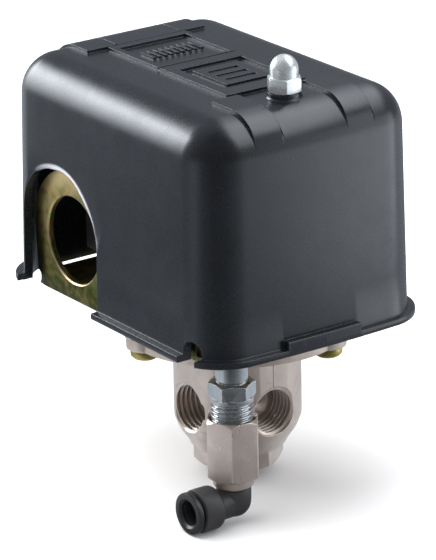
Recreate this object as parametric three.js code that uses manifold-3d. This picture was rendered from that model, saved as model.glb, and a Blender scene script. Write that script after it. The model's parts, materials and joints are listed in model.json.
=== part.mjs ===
// Diaphragm pressure switch: a moulded cover over a sheet-steel frame, with a four-port
// manifold and pressure chamber below, an unloader valve and a push-in elbow.
// Millimetres, +Z up; the origin is the centre of the footprint, at the lowest point.
// All dimensions are drawn from a datum at the cover's left front bottom corner:
// x to the right, y to the back, z up.
import * as THREE from 'three';
import { mergeVertices } from 'three/addons/utils/BufferGeometryUtils.js';
import Module from 'manifold-3d';

const wasm = await Module();
wasm.setup();

// ---------------------------------------------------------------- driving dimensions
const GAP = 0.3; // running and assembly gap between pieces

const COVER = {
  width: 64, depth: 87, height: 58.3, wall: 2.2,
  corner: 10.3, crown: 9.8, // corner radius in plan, edge rounding at the top
  draft: 1.1, bow: 1.3, // wall lean in degrees, outward bulge of the front
  rim: 2.0, rimHeight: 1.6,
};
const CENTRE_X = COVER.width / 2;
const ORIGIN = { x: CENTRE_X, y: 42.85, z: -43.45 }; // the part's origin, from the datum

const ARCH = { y: 63, z: 17.8, radius: 16.1, reach: 7 };
const NOTCH = { y: 7.55, top: 5.5, radius: 2.65 };

const PLATE = { left: 3.9, front: 3.5, back: 82.5, bottom: -1.2, top: 0.3, corner: 6.8 };
const EAR = { thickness: 1.5, y: 62.5, z: 14.5, hole: 11.1, radius: 16.3 };

const COVER_STUD = { x: CENTRE_X, y: 12.5, radius: 2.5 };
const RANGE = { x: CENTRE_X, y: 23.5, radius: 3 };
const DIFFERENTIAL = { x: CENTRE_X, y: 42, radius: 2 };
const PIVOT = { y: 18, z: 9, radius: 1.5, eyeRadius: 3.6 };
const LEVER = { bottom: 7.3, top: 9.0 };
const SPRING_FOOT = 9.4;

const HUB = {
  x: CENTRE_X, y: 33.5, radius: 15.8, flat: 15.25, bottom: -40.4,
  flangeRadius: 28.0, flangeBottom: -6, flangeTop: -2.6,
  hexFlats: 11.3 * Math.sqrt(3), hexHeight: 6, hexTurn: 5.7296,
};
const PORT = { z: -23.7, radius: 6.2, taper: 0.35, inner: 6.5, outer: 20, drilling: 4.4 };
const MANIFOLD_SCREW = { circle: 25.5, shank: 2.0, lug: 4.6 };
const MANIFOLD_SCREWS = [-66, 54, 174].map((degrees) => {
  const angle = THREE.MathUtils.degToRad(degrees);
  return {
    x: HUB.x + MANIFOLD_SCREW.circle * Math.cos(angle),
    y: HUB.y + MANIFOLD_SCREW.circle * Math.sin(angle),
  };
});

const EARTH_SCREW = { places: [12, COVER.width - 12], y: 36, shank: 1.7 };
const BLOCK_SCREW = { places: [30, 42], y: 66, shank: 1.3 };
const TERMINAL = { places: [19, 28, 36, 45], y: 67, shank: 1.5 };
const CONTACT_Y = 56;

const UNLOADER = { x: 12.2, y: 8 };
const ELBOW = { z: -38.1, face: -1.4, barrel: 5.35, neck: 3.85, post: 4.25 };

const PAINT = {
  plastic: { color: 0x2c3136, roughness: 0.45, metalness: 0 },
  yellowZinc: { color: 0xa89a5c, roughness: 0.4, metalness: 0.9 },
  zinc: { color: 0xc9ccce, roughness: 0.28, metalness: 0.95 },
  nickel: { color: 0xb5aaa0, roughness: 0.38, metalness: 0.9 },
  spring: { color: 0x8d9093, roughness: 0.35, metalness: 0.95 },
  brass: { color: 0xb8934a, roughness: 0.35, metalness: 0.95 },
  rubber: { color: 0x16171a, roughness: 0.85, metalness: 0 },
  bakelite: { color: 0x1c1b1a, roughness: 0.6, metalness: 0 },
  black: { color: 0x1b1c1f, roughness: 0.7, metalness: 0 },
  green: { color: 0x3f7d4a, roughness: 0.45, metalness: 0.6 },
};

// ---------------------------------------------------------------- solids and meshes
// Welds a geometry, drops collapsed triangles and turns it outside out if needed.
function toSolid(geometry) {
  geometry.deleteAttribute('normal');
  geometry.deleteAttribute('uv');
  const welded = mergeVertices(geometry, 1e-4);
  const positions = welded.attributes.position.array;
  const index = welded.index.array;
  const triangles = [];
  const corner = (vertex) => new THREE.Vector3().fromArray(positions, vertex * 3);
  let volume = 0;
  for (let i = 0; i < index.length; i += 3) {
    const [first, second, third] = index.slice(i, i + 3);
    if (first === second || second === third || third === first) continue;
    triangles.push(first, second, third);
    volume += corner(first).dot(corner(second).cross(corner(third)));
  }
  if (volume < 0) {
    for (let i = 0; i < triangles.length; i += 3) {
      [triangles[i + 1], triangles[i + 2]] = [triangles[i + 2], triangles[i + 1]];
    }
  }
  return new wasm.Manifold(new wasm.Mesh({
    numProp: 3,
    vertProperties: new Float32Array(positions),
    triVerts: new Uint32Array(triangles),
  }));
}

function toGeometry(solid) {
  const mesh = solid.getMesh();
  const geometry = new THREE.BufferGeometry();
  const positions = new Float32Array(mesh.vertProperties);
  geometry.setAttribute('position', new THREE.BufferAttribute(positions, 3));
  geometry.setIndex(new THREE.BufferAttribute(new Uint32Array(mesh.triVerts), 1));
  geometry.computeVertexNormals();
  return geometry;
}

const group = new THREE.Group();
const datum = new THREE.Group();
datum.position.set(-ORIGIN.x, -ORIGIN.y, -ORIGIN.z);
group.add(datum);

// One group for each set of pieces that moves together, made on first use.
const assemblies = {};
function piece(name, solid, paint, assembly) {
  if (!assemblies[assembly]) {
    assemblies[assembly] = new THREE.Group();
    datum.add(assemblies[assembly]);
  }
  const mesh = new THREE.Mesh(toGeometry(solid), new THREE.MeshStandardMaterial(PAINT[paint]));
  mesh.name = name;
  assemblies[assembly].add(mesh);
}

// ---------------------------------------------------------------- shape helpers
const join = (...solids) => solids.reduce((sum, solid) => sum.add(solid));
const cut = (body, ...tools) => tools.reduce((rest, tool) => rest.subtract(tool), body);

// The same shape between two x values and between their mirror images in the cover.
const bothSides = (left, right, make) => [
  make(left, right),
  make(COVER.width - right, COVER.width - left),
];

// box between two opposite corners, each [x, y, z]
function box(low, high) {
  const size = high.map((value, i) => value - low[i]);
  const geometry = new THREE.BoxGeometry(...size);
  geometry.translate(...high.map((value, i) => (low[i] + value) / 2));
  return toSolid(geometry);
}
const centredBox = (x, y, halfX, halfY, bottom, top) =>
  box([x - halfX, y - halfY, bottom], [x + halfX, y + halfY, top]);

// cylinders and cones along Z, X and Y
function rod(x, y, bottom, top, radius, segments = 24, topRadius = radius) {
  const geometry = new THREE.CylinderGeometry(topRadius, radius, top - bottom, segments);
  geometry.rotateX(Math.PI / 2);
  geometry.translate(x, y, (bottom + top) / 2);
  return toSolid(geometry);
}
function rodX(left, right, y, z, radius, segments = 24, rightRadius = radius) {
  const geometry = new THREE.CylinderGeometry(rightRadius, radius, right - left, segments);
  geometry.rotateZ(-Math.PI / 2);
  geometry.translate((left + right) / 2, y, z);
  return toSolid(geometry);
}
function rodY(front, back, x, z, radius, segments = 24, backRadius = radius) {
  const geometry = new THREE.CylinderGeometry(backRadius, radius, back - front, segments);
  geometry.translate(x, (front + back) / 2, z);
  return toSolid(geometry);
}
function hexagon(x, y, bottom, top, acrossFlats, turn = 0) {
  const radius = acrossFlats / Math.sqrt(3);
  const geometry = new THREE.CylinderGeometry(radius, radius, top - bottom, 6);
  geometry.rotateX(Math.PI / 2);
  geometry.rotateZ(THREE.MathUtils.degToRad(turn));
  geometry.translate(x, y, (bottom + top) / 2);
  return toSolid(geometry);
}

// Turned pieces: the profile is [radius, place along the axis], from the axis round to
// the axis or closed on itself.
const lathe = (profile, segments) =>
  new THREE.LatheGeometry(profile.map((point) => new THREE.Vector2(...point)), segments);
function turned(x, y, profile, segments = 24) {
  const geometry = lathe(profile, segments);
  geometry.rotateX(Math.PI / 2);
  geometry.translate(x, y, 0);
  return toSolid(geometry);
}
function turnedX(y, z, profile, segments = 24) {
  const geometry = lathe(profile, segments);
  geometry.rotateZ(-Math.PI / 2);
  geometry.translate(0, y, z);
  return toSolid(geometry);
}

function prismGeometry(points, bottom, top) {
  const options = { depth: top - bottom, bevelEnabled: false };
  const geometry = new THREE.ExtrudeGeometry(new THREE.Shape(points), options);
  geometry.translate(0, 0, bottom);
  return geometry;
}

// a shape drawn in (y, z) and extruded along +X
function plateYZ(shape, left, right, curveSegments) {
  const options = { depth: right - left, bevelEnabled: false, curveSegments };
  const geometry = new THREE.ExtrudeGeometry(shape, options);
  geometry.applyMatrix4(new THREE.Matrix4().set(
    0, 0, 1, left,
    1, 0, 0, 0,
    0, 1, 0, 0,
    0, 0, 0, 1,
  ));
  return toSolid(geometry);
}

// upright strip in (y, z) with a half-round top
function archShape(y, bottom, arcCentre, radius) {
  const shape = new THREE.Shape();
  shape.moveTo(y - radius, bottom);
  shape.lineTo(y + radius, bottom);
  shape.lineTo(y + radius, arcCentre);
  shape.absarc(y, arcCentre, radius, 0, Math.PI, false);
  return shape;
}

function addHole(shape, y, z, radius) {
  const hole = new THREE.Path();
  hole.absarc(y, z, radius, 0, 2 * Math.PI, true);
  shape.holes.push(hole);
}

// rounded rectangle; the front side is divided so that it can bow
function outline(left, front, right, back, radius, frontSteps) {
  const arcSteps = 5;
  const points = [];
  const corner = (x, y, startDegrees) => {
    for (let i = 0; i <= arcSteps; i++) {
      const angle = THREE.MathUtils.degToRad(startDegrees + 90 * i / arcSteps);
      points.push(new THREE.Vector2(x + radius * Math.cos(angle), y + radius * Math.sin(angle)));
    }
  };
  corner(left + radius, front + radius, 180);
  for (let i = 1; i < frontSteps; i++) {
    const x = left + radius + (right - left - 2 * radius) * i / frontSteps;
    points.push(new THREE.Vector2(x, front));
  }
  corner(right - radius, front + radius, 270);
  corner(right - radius, back - radius, 0);
  corner(left + radius, back - radius, 90);
  return points;
}

// centre line of a coil spring with nearly flat closing coils at both ends
class CoilLine extends THREE.Curve {
  constructor(sizes) {
    super();
    Object.assign(this, sizes);
  }

  getPoint(t, target = new THREE.Vector3()) {
    const angle = 2 * Math.PI * this.turns * t;
    const end = 0.9 / this.turns; // share of the wire in each closing coil
    const endRise = 0.12; // share of the height that each closing coil climbs
    let rise = endRise + (1 - 2 * endRise) * (t - end) / (1 - 2 * end);
    if (t < end) rise = endRise * t / end;
    else if (t > 1 - end) rise = 1 - endRise * (1 - t) / end;
    return target.set(
      this.x + this.radius * Math.cos(angle),
      this.y + this.radius * Math.sin(angle),
      this.bottom + (this.top - this.bottom) * rise,
    );
  }
}

// coil spring in five-sided wire
function spring({ x, y }, { bottom, top, outerRadius, wire, turns, stepsPerTurn = 9 }) {
  const wireRadius = wire / 2;
  const section = Array.from({ length: 5 }, (_, i) => {
    const angle = i * Math.PI * 2 / 5;
    return new THREE.Vector2(wireRadius * Math.cos(angle), wireRadius * Math.sin(angle));
  });
  return toSolid(new THREE.ExtrudeGeometry(new THREE.Shape(section), {
    steps: Math.round(turns * stepsPerTurn),
    bevelEnabled: false,
    extrudePath: new CoilLine({
      x, y, turns,
      bottom: bottom + wireRadius,
      top: top - wireRadius,
      radius: outerRadius - wireRadius,
    }),
  }));
}

// ---------------------------------------------------------------- cover
// Leans the walls in with height and bows the front face out.
function drafted(geometry) {
  const centreY = COVER.depth / 2;
  const slope = Math.tan(THREE.MathUtils.degToRad(COVER.draft));
  const position = geometry.attributes.position;
  for (let i = 0; i < position.count; i++) {
    const offsetX = position.getX(i) - CENTRE_X;
    const offsetY = position.getY(i) - centreY;
    const lean = Math.max(position.getZ(i), 0) * slope;
    const across = offsetX / CENTRE_X;
    const forward = THREE.MathUtils.clamp(-offsetY / centreY, 0, 1);
    const bulge = COVER.bow * Math.max(1 - across * across, 0) * Math.sqrt(forward);
    position.setX(i, CENTRE_X + offsetX * (1 - lean / CENTRE_X));
    position.setY(i, centreY + offsetY * (1 - lean / centreY) - bulge);
  }
  return geometry;
}

const coverOutline = (inset) => outline(
  inset, inset, COVER.width - inset, COVER.depth - inset, COVER.corner - inset, 6,
);

// crowned body, reaching well below z = 0
function coverForm(inset) {
  const length = 80;
  const crown = COVER.crown - inset;
  const geometry = new THREE.ExtrudeGeometry(new THREE.Shape(coverOutline(inset)), {
    depth: length - 2 * crown,
    bevelSegments: 4, bevelThickness: crown, bevelSize: crown, bevelOffset: -crown,
  });
  geometry.translate(0, 0, COVER.height - inset - length + crown);
  return toSolid(drafted(geometry));
}

const coverBand = (inset, bottom, top) =>
  toSolid(drafted(prismGeometry(coverOutline(inset), bottom, top)));

// Crown relief: left, front, right, back, then height above the crown or depth into the pads.
const PAD_HEIGHT = 0.8;
const CROWN_PADS = [
  [20.5, 19.5, 43.5, 69.7, PAD_HEIGHT], // centre panel
  [14.5, 10.2, 22.5, 24, PAD_HEIGHT], [41.5, 10.2, 49.5, 24, PAD_HEIGHT], // front pair
  [15, 70.3, 23.1, 77.2, PAD_HEIGHT], [23.5, 70.3, 42.1, 77.2, PAD_HEIGHT], // rear row
  [42.5, 70.3, 50, 77.2, PAD_HEIGHT],
];
const CROWN_POCKETS = [
  [23, 50.5, 41, 67, 0.6], // rear pocket
  [20, 47.6, 44, 48.6, 0.5], // cross groove
  [23.5, 24.5, 40.5, 43.5, 0.6], // front pocket
];
const RAISED = 0.75;
const POCKET_PADS = [[25.5, 27, 38.5, 41, RAISED]]; // in the front pocket, then five ribs
for (let i = 0; i < 5; i++) {
  POCKET_PADS.push([25 + 3 * i, 55.5, 26.6 + 3 * i, 62, RAISED]);
}

function cover() {
  const { height, wall, rim, rimHeight, bow } = COVER;
  const pad = ([left, front, right, back, rise]) =>
    box([left, front, height - 1.2], [right, back, height + rise]);
  const pocket = ([left, front, right, back, depth]) =>
    box([left, front, height + PAD_HEIGHT - depth], [right, back, height + 3]);
  const arch = archShape(ARCH.y, -3, ARCH.z, ARCH.radius);
  const notch = archShape(NOTCH.y, -3, NOTCH.top - NOTCH.radius, NOTCH.radius);

  let body = coverForm(0).intersect(box([-10, -10, 0], [80, 100, 70]));
  body = body.add(coverBand(-rim, 0, rimHeight));
  // raised lip in the middle of the front rim
  body = body.add(box([21, -rim - bow + 0.35, 0], [42.5, 1.5, 3.6]));
  body = join(body, ...CROWN_PADS.map(pad));
  body = cut(body, ...CROWN_POCKETS.map(pocket));
  body = join(body, ...POCKET_PADS.map(pad));
  return cut(
    body,
    coverForm(wall),
    coverBand(wall, -5, 1), // opens the cavity fully at the bottom edge
    rod(COVER_STUD.x, COVER_STUD.y, 50, 65, 3.0),
    // conduit arches in both side walls
    ...bothSides(-6, ARCH.reach, (left, right) => plateYZ(arch, left, right, 10)),
    // small notch low in the left wall
    plateYZ(notch, -6, 6, 6),
  );
}
piece('cover', cover(), 'plastic', 'cover');

// height above the nut's seat is the second column
const CAP_DOME = [
  [0, 0.4], [3.7, 0.4], [3.7, 6.4], [3.45, 7.8], [2.8, 9.0], [1.6, 9.75], [0, 10],
];
function capNut() {
  const { x, y, radius } = COVER_STUD;
  const seat = COVER.height + GAP;
  const dome = turned(x, y, CAP_DOME.map(([across, height]) => [across, seat + height]));
  const bore = rod(x, y, seat - 1, seat + 7, radius + GAP, 20);
  return hexagon(x, y, seat, seat + 4.6, 8, 31.4).add(dome).subtract(bore);
}
piece('cover_cap_nut', capNut(), 'zinc', 'cover');

// ---------------------------------------------------------------- frame
// side wall with a round conduit ear
function earShape() {
  const { y, z, radius } = EAR;
  const foot = PLATE.bottom + 0.2;
  const shape = new THREE.Shape();
  shape.moveTo(10.5, foot);
  shape.lineTo(y + radius, foot);
  shape.lineTo(y + radius, z);
  shape.absarc(y, z, radius, 0, Math.PI, false);
  shape.lineTo(y - radius, 8);
  shape.lineTo(y - radius - 3, 5);
  shape.lineTo(12.5, 5);
  shape.lineTo(10.5, 3);
  addHole(shape, y, z, EAR.hole);
  return shape;
}

function baseFrame() {
  const { left, front, back, bottom, top, corner } = PLATE;
  const plan = outline(left, front, COVER.width - left, back, corner, 1);
  const ear = earShape();
  const bracket = archShape(PIVOT.y, 0, PIVOT.z, PIVOT.eyeRadius);
  addHole(bracket, PIVOT.y, PIVOT.z, PIVOT.radius + GAP);
  const body = join(
    toSolid(prismGeometry(plan, bottom, top)),
    ...bothSides(left, left + EAR.thickness, (from, to) => plateYZ(ear, from, to, 12)),
    ...bothSides(15.6, 17.1, (from, to) => plateYZ(bracket, from, to, 8)),
  );
  const hole = (x, y, radius) => rod(x, y, -3, 2, radius, 14);
  return cut(
    body,
    ...[COVER_STUD, RANGE, DIFFERENTIAL].map(({ x, y, radius }) => hole(x, y, radius + GAP)),
    hole(HUB.x, HUB.y, 5.4),
    hole(UNLOADER.x, UNLOADER.y, 4.3),
    ...EARTH_SCREW.places.map((x) => hole(x, EARTH_SCREW.y, EARTH_SCREW.shank + GAP)),
    ...BLOCK_SCREW.places.map((x) => hole(x, BLOCK_SCREW.y, BLOCK_SCREW.shank + GAP)),
    // these end just above the plate, to stay clear of the side walls
    ...MANIFOLD_SCREWS.map(({ x, y }) =>
      rod(x, y, -3, PLATE.top + 0.05, MANIFOLD_SCREW.shank + GAP, 14)),
  );
}
piece('base_frame', baseFrame(), 'yellowZinc', 'frame');

// studs pressed into the base plate
function stud({ x, y, radius }, collar, top) {
  return turned(x, y, [
    [0, -1.0], [radius, -1.0], [radius, 0.6], [collar, 0.6], [collar, 2.6],
    [radius, 3.0], [radius, top - 0.6], [radius - 0.5, top], [0, top],
  ], 16);
}
piece('cover_stud', stud(COVER_STUD, 4.2, COVER.height + 6.2), 'zinc', 'frame');
piece('range_stud', stud(RANGE, 4.0, 53.4), 'zinc', 'frame');
piece('differential_stud', stud(DIFFERENTIAL, 3.0, 38), 'zinc', 'frame');

function earthScrew(x) {
  const { y, shank } = EARTH_SCREW;
  const screw = turned(x, y, [
    [0, -1.0], [shank, -1.0], [shank, 0.6], [3.2, 0.6], [3.2, 1.8], [2.6, 2.5], [0, 2.5],
  ], 16);
  return screw.subtract(centredBox(x, y, 4, 0.45, 1.7, 4));
}
EARTH_SCREW.places.forEach((x, i) => {
  piece(`earth_screw_${i + 1}`, earthScrew(x), 'green', 'frame');
});

// ---------------------------------------------------------------- manifold and diaphragm
function manifoldScrew({ x, y }) {
  const { shank } = MANIFOLD_SCREW;
  const screw = turned(x, y, [
    [0, -8.8], [2.7, -8.8], [3.6, -8.0], [3.6, -6.3], [shank, -6.3], [shank, 0], [0, 0],
  ], 16);
  return cut(
    screw,
    centredBox(x, y, 2.2, 0.4, -9, -7.7),
    centredBox(x, y, 0.4, 2.2, -9, -7.7),
  );
}
MANIFOLD_SCREWS.forEach((place, i) => {
  piece(`manifold_screw_${i + 1}`, manifoldScrew(place), 'yellowZinc', 'frame');
});

const screwHoles = (radius) => MANIFOLD_SCREWS.map(({ x, y }) => rod(x, y, -8, 0, radius, 14));

function manifoldBody() {
  const { x, y, radius, flat, bottom, flangeBottom, flangeTop } = HUB;
  const { z, inner, outer, drilling } = PORT;
  const mouth = PORT.radius;
  const root = mouth - PORT.taper;
  const core = turned(x, y, [
    [0, -36], [10.6, -36], [12.6, -33.6], [14.4, -31.2], [15.5, -28.6],
    [radius, -26], [radius, -5], [0, -5],
  ], 32);
  const body = join(
    core.intersect(centredBox(x, y, flat, flat, -60, 5)),
    rod(x, y, flangeBottom, flangeTop, HUB.flangeRadius, 36),
    ...MANIFOLD_SCREWS.map((place) =>
      rod(place.x, place.y, flangeBottom, flangeTop, MANIFOLD_SCREW.lug, 16)),
    hexagon(x, y, bottom, bottom + HUB.hexHeight, HUB.hexFlats, HUB.hexTurn),
  );
  return cut(
    body,
    // chamber, centre drilling and bottom port
    rod(x, y, -4.4, 0, 19),
    rod(x, y, -50, -4, drilling, 16),
    rod(x, y, bottom - 1, bottom + 11, mouth, 20),
    // four tapered side ports and their cross drillings
    rodX(x - outer, x - inner, y, z, mouth, 20, root),
    rodX(x + inner, x + outer, y, z, root, 20, mouth),
    rodY(y - outer, y - inner, x, z, mouth, 20, root),
    rodY(y + inner, y + outer, x, z, root, 20, mouth),
    rodX(x - 10, x + 10, y, z, drilling, 16),
    rodY(y - 10, y + 10, x, z, drilling, 16),
    ...screwHoles(MANIFOLD_SCREW.shank + GAP),
  );
}
piece('manifold_body', manifoldBody(), 'nickel', 'frame');

const diaphragm = cut(rod(HUB.x, HUB.y, -2.3, -1.5, 27.5, 36), ...screwHoles(2.4));
piece('diaphragm', diaphragm, 'rubber', 'frame');

const piston = turned(HUB.x, HUB.y, [
  [0, -1.2], [5, -1.2], [5, 4.2], [4.4, 4.8], [2.5, 4.8], [2.5, 6.6], [2.1, 7.0], [0, 7.0],
]);
piece('diaphragm_piston', piston, 'zinc', 'piston');

// ---------------------------------------------------------------- lever and its pivot pin
const pivotPin = join(
  rodX(14.6, 49.4, PIVOT.y, PIVOT.z, PIVOT.radius, 16),
  rodX(13.9, 14.7, PIVOT.y, PIVOT.z, 2.3, 16), // head
);
piece('lever_pivot_pin', pivotPin, 'zinc', 'frame');

function mainLever() {
  const { y, z, radius } = PIVOT;
  const sheet = (left, front, right, back) =>
    box([left, front, LEVER.bottom], [right, back, LEVER.top]);
  const body = join(
    sheet(20, 18, 44, 52),
    // arm that reaches left and forward over the unloader pin
    sheet(9.9, 24, 21, 30),
    sheet(9.9, 5, 13.3, 30),
    // pivot barrels and the strips that carry them
    ...bothSides(18, 26, (left, right) => rodX(left, right, y, z, 3, 20)),
    ...bothSides(18, 26, (left, right) => sheet(left, 18, right, 22)),
    // turned-up stiffening edges
    ...bothSides(20, 21.4, (left, right) => box([left, 26, 8.8], [right, 48, 12.0])),
  );
  return cut(
    body,
    rodX(10, 60, y, z, radius + GAP, 16),
    rod(RANGE.x, RANGE.y, 0, 20, 4.3),
    rod(DIFFERENTIAL.x, DIFFERENTIAL.y, 0, 20, 3.2),
    box([26, 10, 5], [38, 18.6, 14]),
  );
}
piece('main_lever', mainLever(), 'yellowZinc', 'lever');

// ---------------------------------------------------------------- springs, seats and nuts
function springSeat({ x, y, radius }, outer, bottom, top, segments) {
  const bore = radius + 0.35;
  return turned(x, y, [
    [bore, bottom], [outer, bottom], [outer, top - 0.4], [outer - 0.4, top],
    [bore, top], [bore, bottom],
  ], segments);
}

const rangeSpring = spring(RANGE, {
  bottom: SPRING_FOOT, top: 42.0, outerRadius: 8, wire: 2.0, turns: 7.5,
});
const rangeNut = hexagon(RANGE.x, RANGE.y, 44.6, 49.6, 10, 8)
  .subtract(rod(RANGE.x, RANGE.y, 40, 55, RANGE.radius + GAP));
piece('range_spring', rangeSpring, 'spring', 'frame');
piece('range_spring_seat', springSeat(RANGE, 8.2, 42.3, 44.3, 28), 'zinc', 'range');
piece('range_nut', rangeNut, 'brass', 'range');

const differentialSpring = spring(DIFFERENTIAL, {
  bottom: SPRING_FOOT, top: 30.0, outerRadius: 4.6, wire: 1.2, turns: 8,
});
const differentialSeat = springSeat(DIFFERENTIAL, 5.0, 30.3, 31.7, 24);
const differentialNut = hexagon(DIFFERENTIAL.x, DIFFERENTIAL.y, 32.0, 35.2, 7, 20)
  .subtract(rod(DIFFERENTIAL.x, DIFFERENTIAL.y, 28, 40, DIFFERENTIAL.radius + GAP, 20));
piece('differential_spring', differentialSpring, 'spring', 'frame');
piece('differential_spring_seat', differentialSeat, 'zinc', 'differential');
piece('differential_nut', differentialNut, 'brass', 'differential');

// ---------------------------------------------------------------- contact block
const TERMINAL_BORE = TERMINAL.shank + GAP;
const BARRIERS = [14, 22.9, 31.4, 39.9, 48.7]; // left faces of the walls between terminals

function contactBlock() {
  const body = join(
    box([14, 53, 8], [50, 72, 20.7]),
    ...BLOCK_SCREW.places.map((x) => box([x - 3, 60, 0.6], [x + 3, 70, 8.5])), // feet
    ...BARRIERS.map((x) => box([x, 60.5, 20], [x + 1.3, 72, 27])),
  );
  return cut(
    body,
    ...TERMINAL.places.map((x) => rod(x, TERMINAL.y, 12, 30, TERMINAL_BORE, 12)),
    ...BLOCK_SCREW.places.map((x) => rod(x, BLOCK_SCREW.y, -1, 6, BLOCK_SCREW.shank + GAP, 14)),
  );
}
piece('contact_block', contactBlock(), 'bakelite', 'frame');

function blockScrew(x) {
  const { y, shank } = BLOCK_SCREW;
  return turned(x, y, [
    [0, -2.9], [1.8, -2.9], [2.5, -2.3], [2.5, -1.5], [shank, -1.5], [shank, 5.4], [0, 5.4],
  ], 14);
}
BLOCK_SCREW.places.forEach((x, i) => {
  piece(`block_screw_${i + 1}`, blockScrew(x), 'zinc', 'frame');
});

function terminalPlate(x) {
  return box([x - 2.7, 53.5, 21.0], [x + 2.7, 71.5, 22.0])
    .add(rod(x, CONTACT_Y, 21.5, 23.6, 1.9, 12, 1.6))
    .subtract(rod(x, TERMINAL.y, 18, 25, TERMINAL_BORE, 12));
}
function terminalScrew(x) {
  const { y, shank } = TERMINAL;
  const screw = turned(x, y, [
    [0, 14], [shank, 14], [shank, 22.3], [2.65, 22.3], [2.65, 24.2], [2.1, 24.9], [0, 24.9],
  ], 14);
  return screw.subtract(centredBox(x, y, 3, 0.4, 24.0, 26));
}
TERMINAL.places.forEach((x, i) => {
  piece(`terminal_plate_${i + 1}`, terminalPlate(x), 'brass', 'frame');
  piece(`terminal_screw_${i + 1}`, terminalScrew(x), 'zinc', 'frame');
});

// stands over the lever's rear end and carries the two bridges
const carrier = join(
  box([20.5, 49, 9.3], [43.5, 52.4, 29]),
  box([16.5, 49, 25.8], [47.5, 58.5, 29]),
);
piece('contact_carrier', carrier, 'bakelite', 'carrier');

function contactBridge(left, right) {
  const tip = (x) => rod(x, CONTACT_Y, 23.9, 24.6, 1.6, 12, 1.8);
  const bar = box([left, CONTACT_Y - 2, 24.4], [right, CONTACT_Y + 2, 25.5]);
  return join(bar, tip(left + 2.4), tip(right - 2.4));
}
bothSides(16.6, 30.4, contactBridge).forEach((bridge, i) => {
  piece(`moving_contact_${i + 1}`, bridge, 'brass', 'carrier');
});

// ---------------------------------------------------------------- unloader valve
const { x: valveX, y: valveY } = UNLOADER;
const valveTurned = (profile, segments) => turned(valveX, valveY, profile, segments);
const valveRod = (...sizes) => rod(valveX, valveY, ...sizes);

const valveBody = cut(
  valveTurned([
    [0, -22], [4.7, -22], [5.15, -21.4], [5.15, -11.3], [4.5, -10.8],
    [3.9, -10.8], [3.9, 4.0], [0, 4.0],
  ], 28).add(hexagon(valveX, valveY, -11.2, -7.0, 10)),
  valveRod(-10, 10, 1.8, 16),
  valveRod(-30, -5.0, 2.9, 20),
);
piece('unloader_valve_body', valveBody, 'zinc', 'frame');

const unloaderPin = valveTurned([
  [0, -7.4], [2.4, -7.4], [2.4, -5.9], [1.5, -5.3], [1.5, 6.7], [1.2, 7.0], [0, 7.0],
], 18);
piece('unloader_pin', unloaderPin, 'brass', 'unloader');

const unloaderSpring = spring(UNLOADER, {
  bottom: -21.0, top: -7.7, outerRadius: 2.4, wire: 0.6, turns: 6, stepsPerTurn: 8,
});
piece('unloader_spring', unloaderSpring, 'spring', 'frame');

// The turned form takes the corners off the hexagon's ends.
const adapterForm = valveTurned([
  [0, -33], [5.6, -33], [6.95, -31.6], [6.95, -16.9], [6.3, -16.3], [0, -16.3],
], 32);
const adapter = cut(
  hexagon(valveX, valveY, -33.0, -16.3, 12, 22.9)
    .intersect(adapterForm)
    .add(valveRod(-33.95, -32.9, 4.25)),
  valveRod(-23, -10, 5.45, 28),
  valveRod(-36, -22, 2.0, 16),
  valveRod(-36, -26, 3.2, 20),
);
piece('unloader_adapter', adapter, 'nickel', 'frame');

// ---------------------------------------------------------------- elbow
// The stem is fixed in the adapter; the elbow turns on it.
const stem = cut(
  valveTurned([
    [0, -39.6], [2.5, -39.6], [2.5, -33.9], [2.9, -33.9], [2.9, -26.4], [0, -26.4],
  ], 20),
  valveRod(-41, -20, 1.4, 16),
);
piece('elbow_stem', stem, 'brass', 'frame');

function elbowBody() {
  const { z, face, barrel, neck, post } = ELBOW;
  const upright = valveTurned([
    [0, z - 5.3], [2.8, z - 5.3], [3.8, z - 4.7], [post, z - 3.7],
    [post, -34.6], [4.0, -34.3], [0, -34.3],
  ]);
  const arm = turnedX(valveY, z, [
    [0, face + 2.4], [4.9, face + 2.4], [barrel, face + 2.8], [barrel, face + 7.0],
    [4.8, face + 7.7], [neck, face + 8.0], [neck, valveX], [0, valveX],
  ], 28);
  return cut(
    upright.add(arm),
    valveRod(z - 2.2, -30, 2.8, 20),
    rodX(face, face + 6.9, valveY, z, 4.25),
    rodX(face, valveX, valveY, z, 2.1, 16),
  );
}
piece('elbow_body', elbowBody(), 'black', 'elbow');

// ring on the arm's axis, placed by its distances in from the elbow's left face
function armRing(radius, bore, near, far) {
  const left = ELBOW.face + near;
  const right = ELBOW.face + far;
  return turnedX(valveY, ELBOW.z, [
    [bore, left], [radius, left], [radius, right], [bore, right], [bore, left],
  ]);
}
const collar = armRing(5.15, 3.1, 0, 1.5).add(armRing(3.9, 3.1, 1.4, 3.9));
piece('release_collar', collar, 'black', 'collar');
piece('grab_ring', armRing(4.0, 3.2, 4.9, 5.2), 'spring', 'elbow');
piece('tube_seal', armRing(4.0, 3.15, 5.4, 6.7), 'rubber', 'elbow');

export default group;
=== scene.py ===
"""A pressure switch: a crowned black cover over a sheet frame, with a cast manifold below it.

Shapes are drawn in millimetres: x runs to the right, y to the back and z up, from the left front
bottom corner of the cover walls. place() sets each piece in the row frame, in metres. The contacts
lie at the back, the unloader valve hangs at the left front and its elbow opens to the left.
"""
import json
import math

import bmesh
import bpy
import numpy as np
from mathutils import Matrix, Vector


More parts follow.
